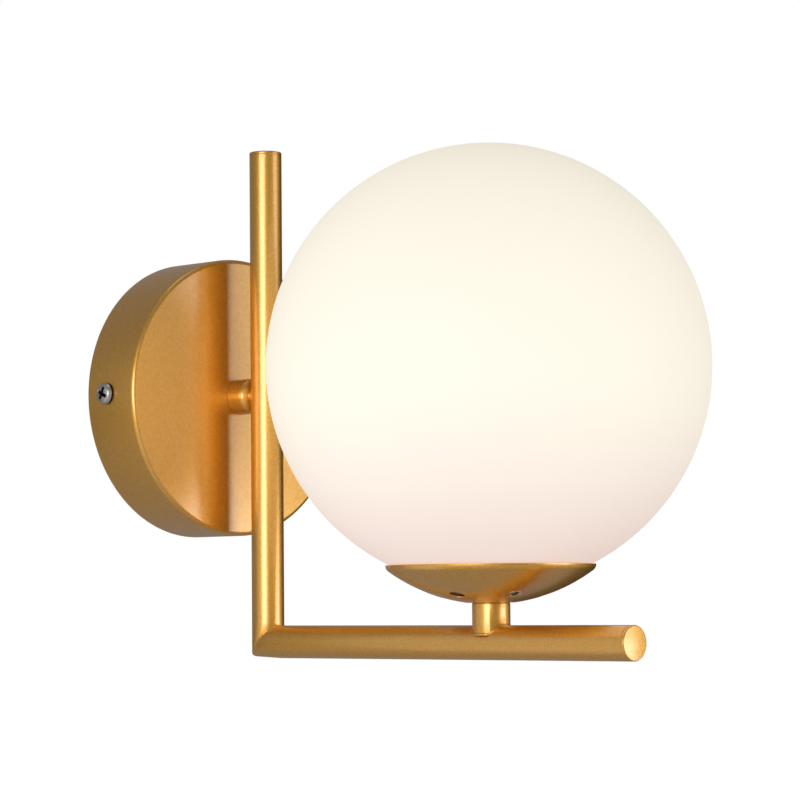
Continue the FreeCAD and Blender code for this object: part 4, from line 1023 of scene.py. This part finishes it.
# The studio: a pale floor far below and a surround that only the camera sees as white.
# Soft boxes stand left and right of the camera, and a black flag darkens the canopy's band by the upright.
# The camera stands and looks as in the photograph.

scene = bpy.context.scene
scene.view_settings.view_transform = "Standard"


def white_for_camera(tree, output, plain, white):
    """Show the camera the white shader, and every other ray the plain one."""
    rays = tree.nodes.new("ShaderNodeLightPath")
    choice = tree.nodes.new("ShaderNodeMixShader")
    tree.links.new(rays.outputs["Is Camera Ray"], choice.inputs[0])
    tree.links.new(plain.outputs[0], choice.inputs[1])
    tree.links.new(white.outputs[0], choice.inputs[2])
    tree.links.new(choice.outputs[0], tree.nodes[output].inputs["Surface"])


def studio_sheet(name, corners, material):
    """A flat sheet that stands in the studio."""
    mesh = bpy.data.meshes.new(name)
    mesh.from_pydata(corners, [], [(0, 1, 2, 3)])
    mesh.materials.append(material)
    sheet = bpy.data.objects.new(name, mesh)
    scene.collection.objects.link(sheet)
    return sheet


def studio_material(name, colour):
    material = bpy.data.materials.new(name)
    material.use_nodes = True
    shader = material.node_tree.nodes["Principled BSDF"]
    shader.inputs["Base Color"].default_value = (*colour, 1.0)
    return material, shader


pale, matt = studio_material("pale_floor", (0.78, 0.77, 0.76))
matt.inputs["Roughness"].default_value = 0.9
matt.inputs["Specular IOR Level"].default_value = 0.0
tree = pale.node_tree
glowing = tree.nodes.new("ShaderNodeEmission")
glowing.inputs["Strength"].default_value = 0.85
lit = tree.nodes.new("ShaderNodeAddShader")
tree.links.new(matt.outputs[0], lit.inputs[0])
tree.links.new(glowing.outputs[0], lit.inputs[1])
white_for_camera(tree, "Material Output", matt, lit)
wide, low = 9.0, -0.55
floor = studio_sheet("floor", [(-wide, -wide, low), (wide, -wide, low), (wide, wide, low),
                               (-wide, wide, low)], pale)

world = bpy.data.worlds.new("surround")
scene.world = world
world.use_nodes = True
tree = world.node_tree
surround = tree.nodes["Background"]
surround.inputs["Color"].default_value = (1.0, 0.985, 0.96, 1.0)
surround.inputs["Strength"].default_value = 0.24
behind = tree.nodes.new("ShaderNodeBackground")
behind.inputs["Color"].default_value = (1.0, 1.0, 1.0, 1.0)
behind.inputs["Strength"].default_value = 1.0
white_for_camera(tree, "World Output", surround, behind)


def soft_box(name, place, target, width, height, watts):
    lamp = bpy.data.lights.new(name, "AREA")
    lamp.shape = "RECTANGLE"
    lamp.size = width
    lamp.size_y = height
    lamp.energy = watts
    lamp.color = (1.0, 0.98, 0.95)
    holder = bpy.data.objects.new(name, lamp)
    holder.location = place
    holder.rotation_euler = (Vector(target) - Vector(place)).to_track_quat("-Z", "Y").to_euler()
    scene.collection.objects.link(holder)


fixture_middle = (0.0, -0.11, 0.0)
soft_box("key_left", (-1.41, -0.62, 0.09), fixture_middle, 1.0, 0.60, 9.0)
soft_box("fill_right", (0.75, -1.40, 0.08), fixture_middle, 0.90, 0.75, 3.4)
soft_box("fill_low", (0.75, -1.40, -0.20), fixture_middle, 0.90, 0.26, 2.4)
soft_box("low_left", (-0.56, 0.03, -0.20), (-0.56, -1.0, -0.20), 0.9, 0.5, 0.5)
soft_box("top_box", (0.0, -0.2, 1.5), fixture_middle, 0.6, 0.6, 1.0)

black, _ = studio_material("black_cloth", (0.01, 0.01, 0.01))
right, front, back, half = 0.42, -0.22, 0.20, 0.35
flag = studio_sheet("flag", [(right, back, half), (right, back, -half), (right, front, -half),
                             (right, front, half)], black)
flag.visible_camera = False

camera_data = bpy.data.cameras.new("camera")
camera_data.sensor_width = 36.0
camera_data.lens = 133.88
camera_data.clip_start = 0.01
camera = bpy.data.objects.new("camera", camera_data)
# Fitted to the edges of the rods, the canopy, the globe and the cup in the photograph.
camera.matrix_world = Matrix((
    (0.70404508, -0.04206345, -0.70890845, -0.750472),
    (-0.71009976, -0.05418126, -0.70201334, -0.853942),
    (-0.00888045, 0.99764476, -0.06801529, -0.077557),
    (0, 0, 0, 1)))
scene.collection.objects.link(camera)
scene.camera = camera
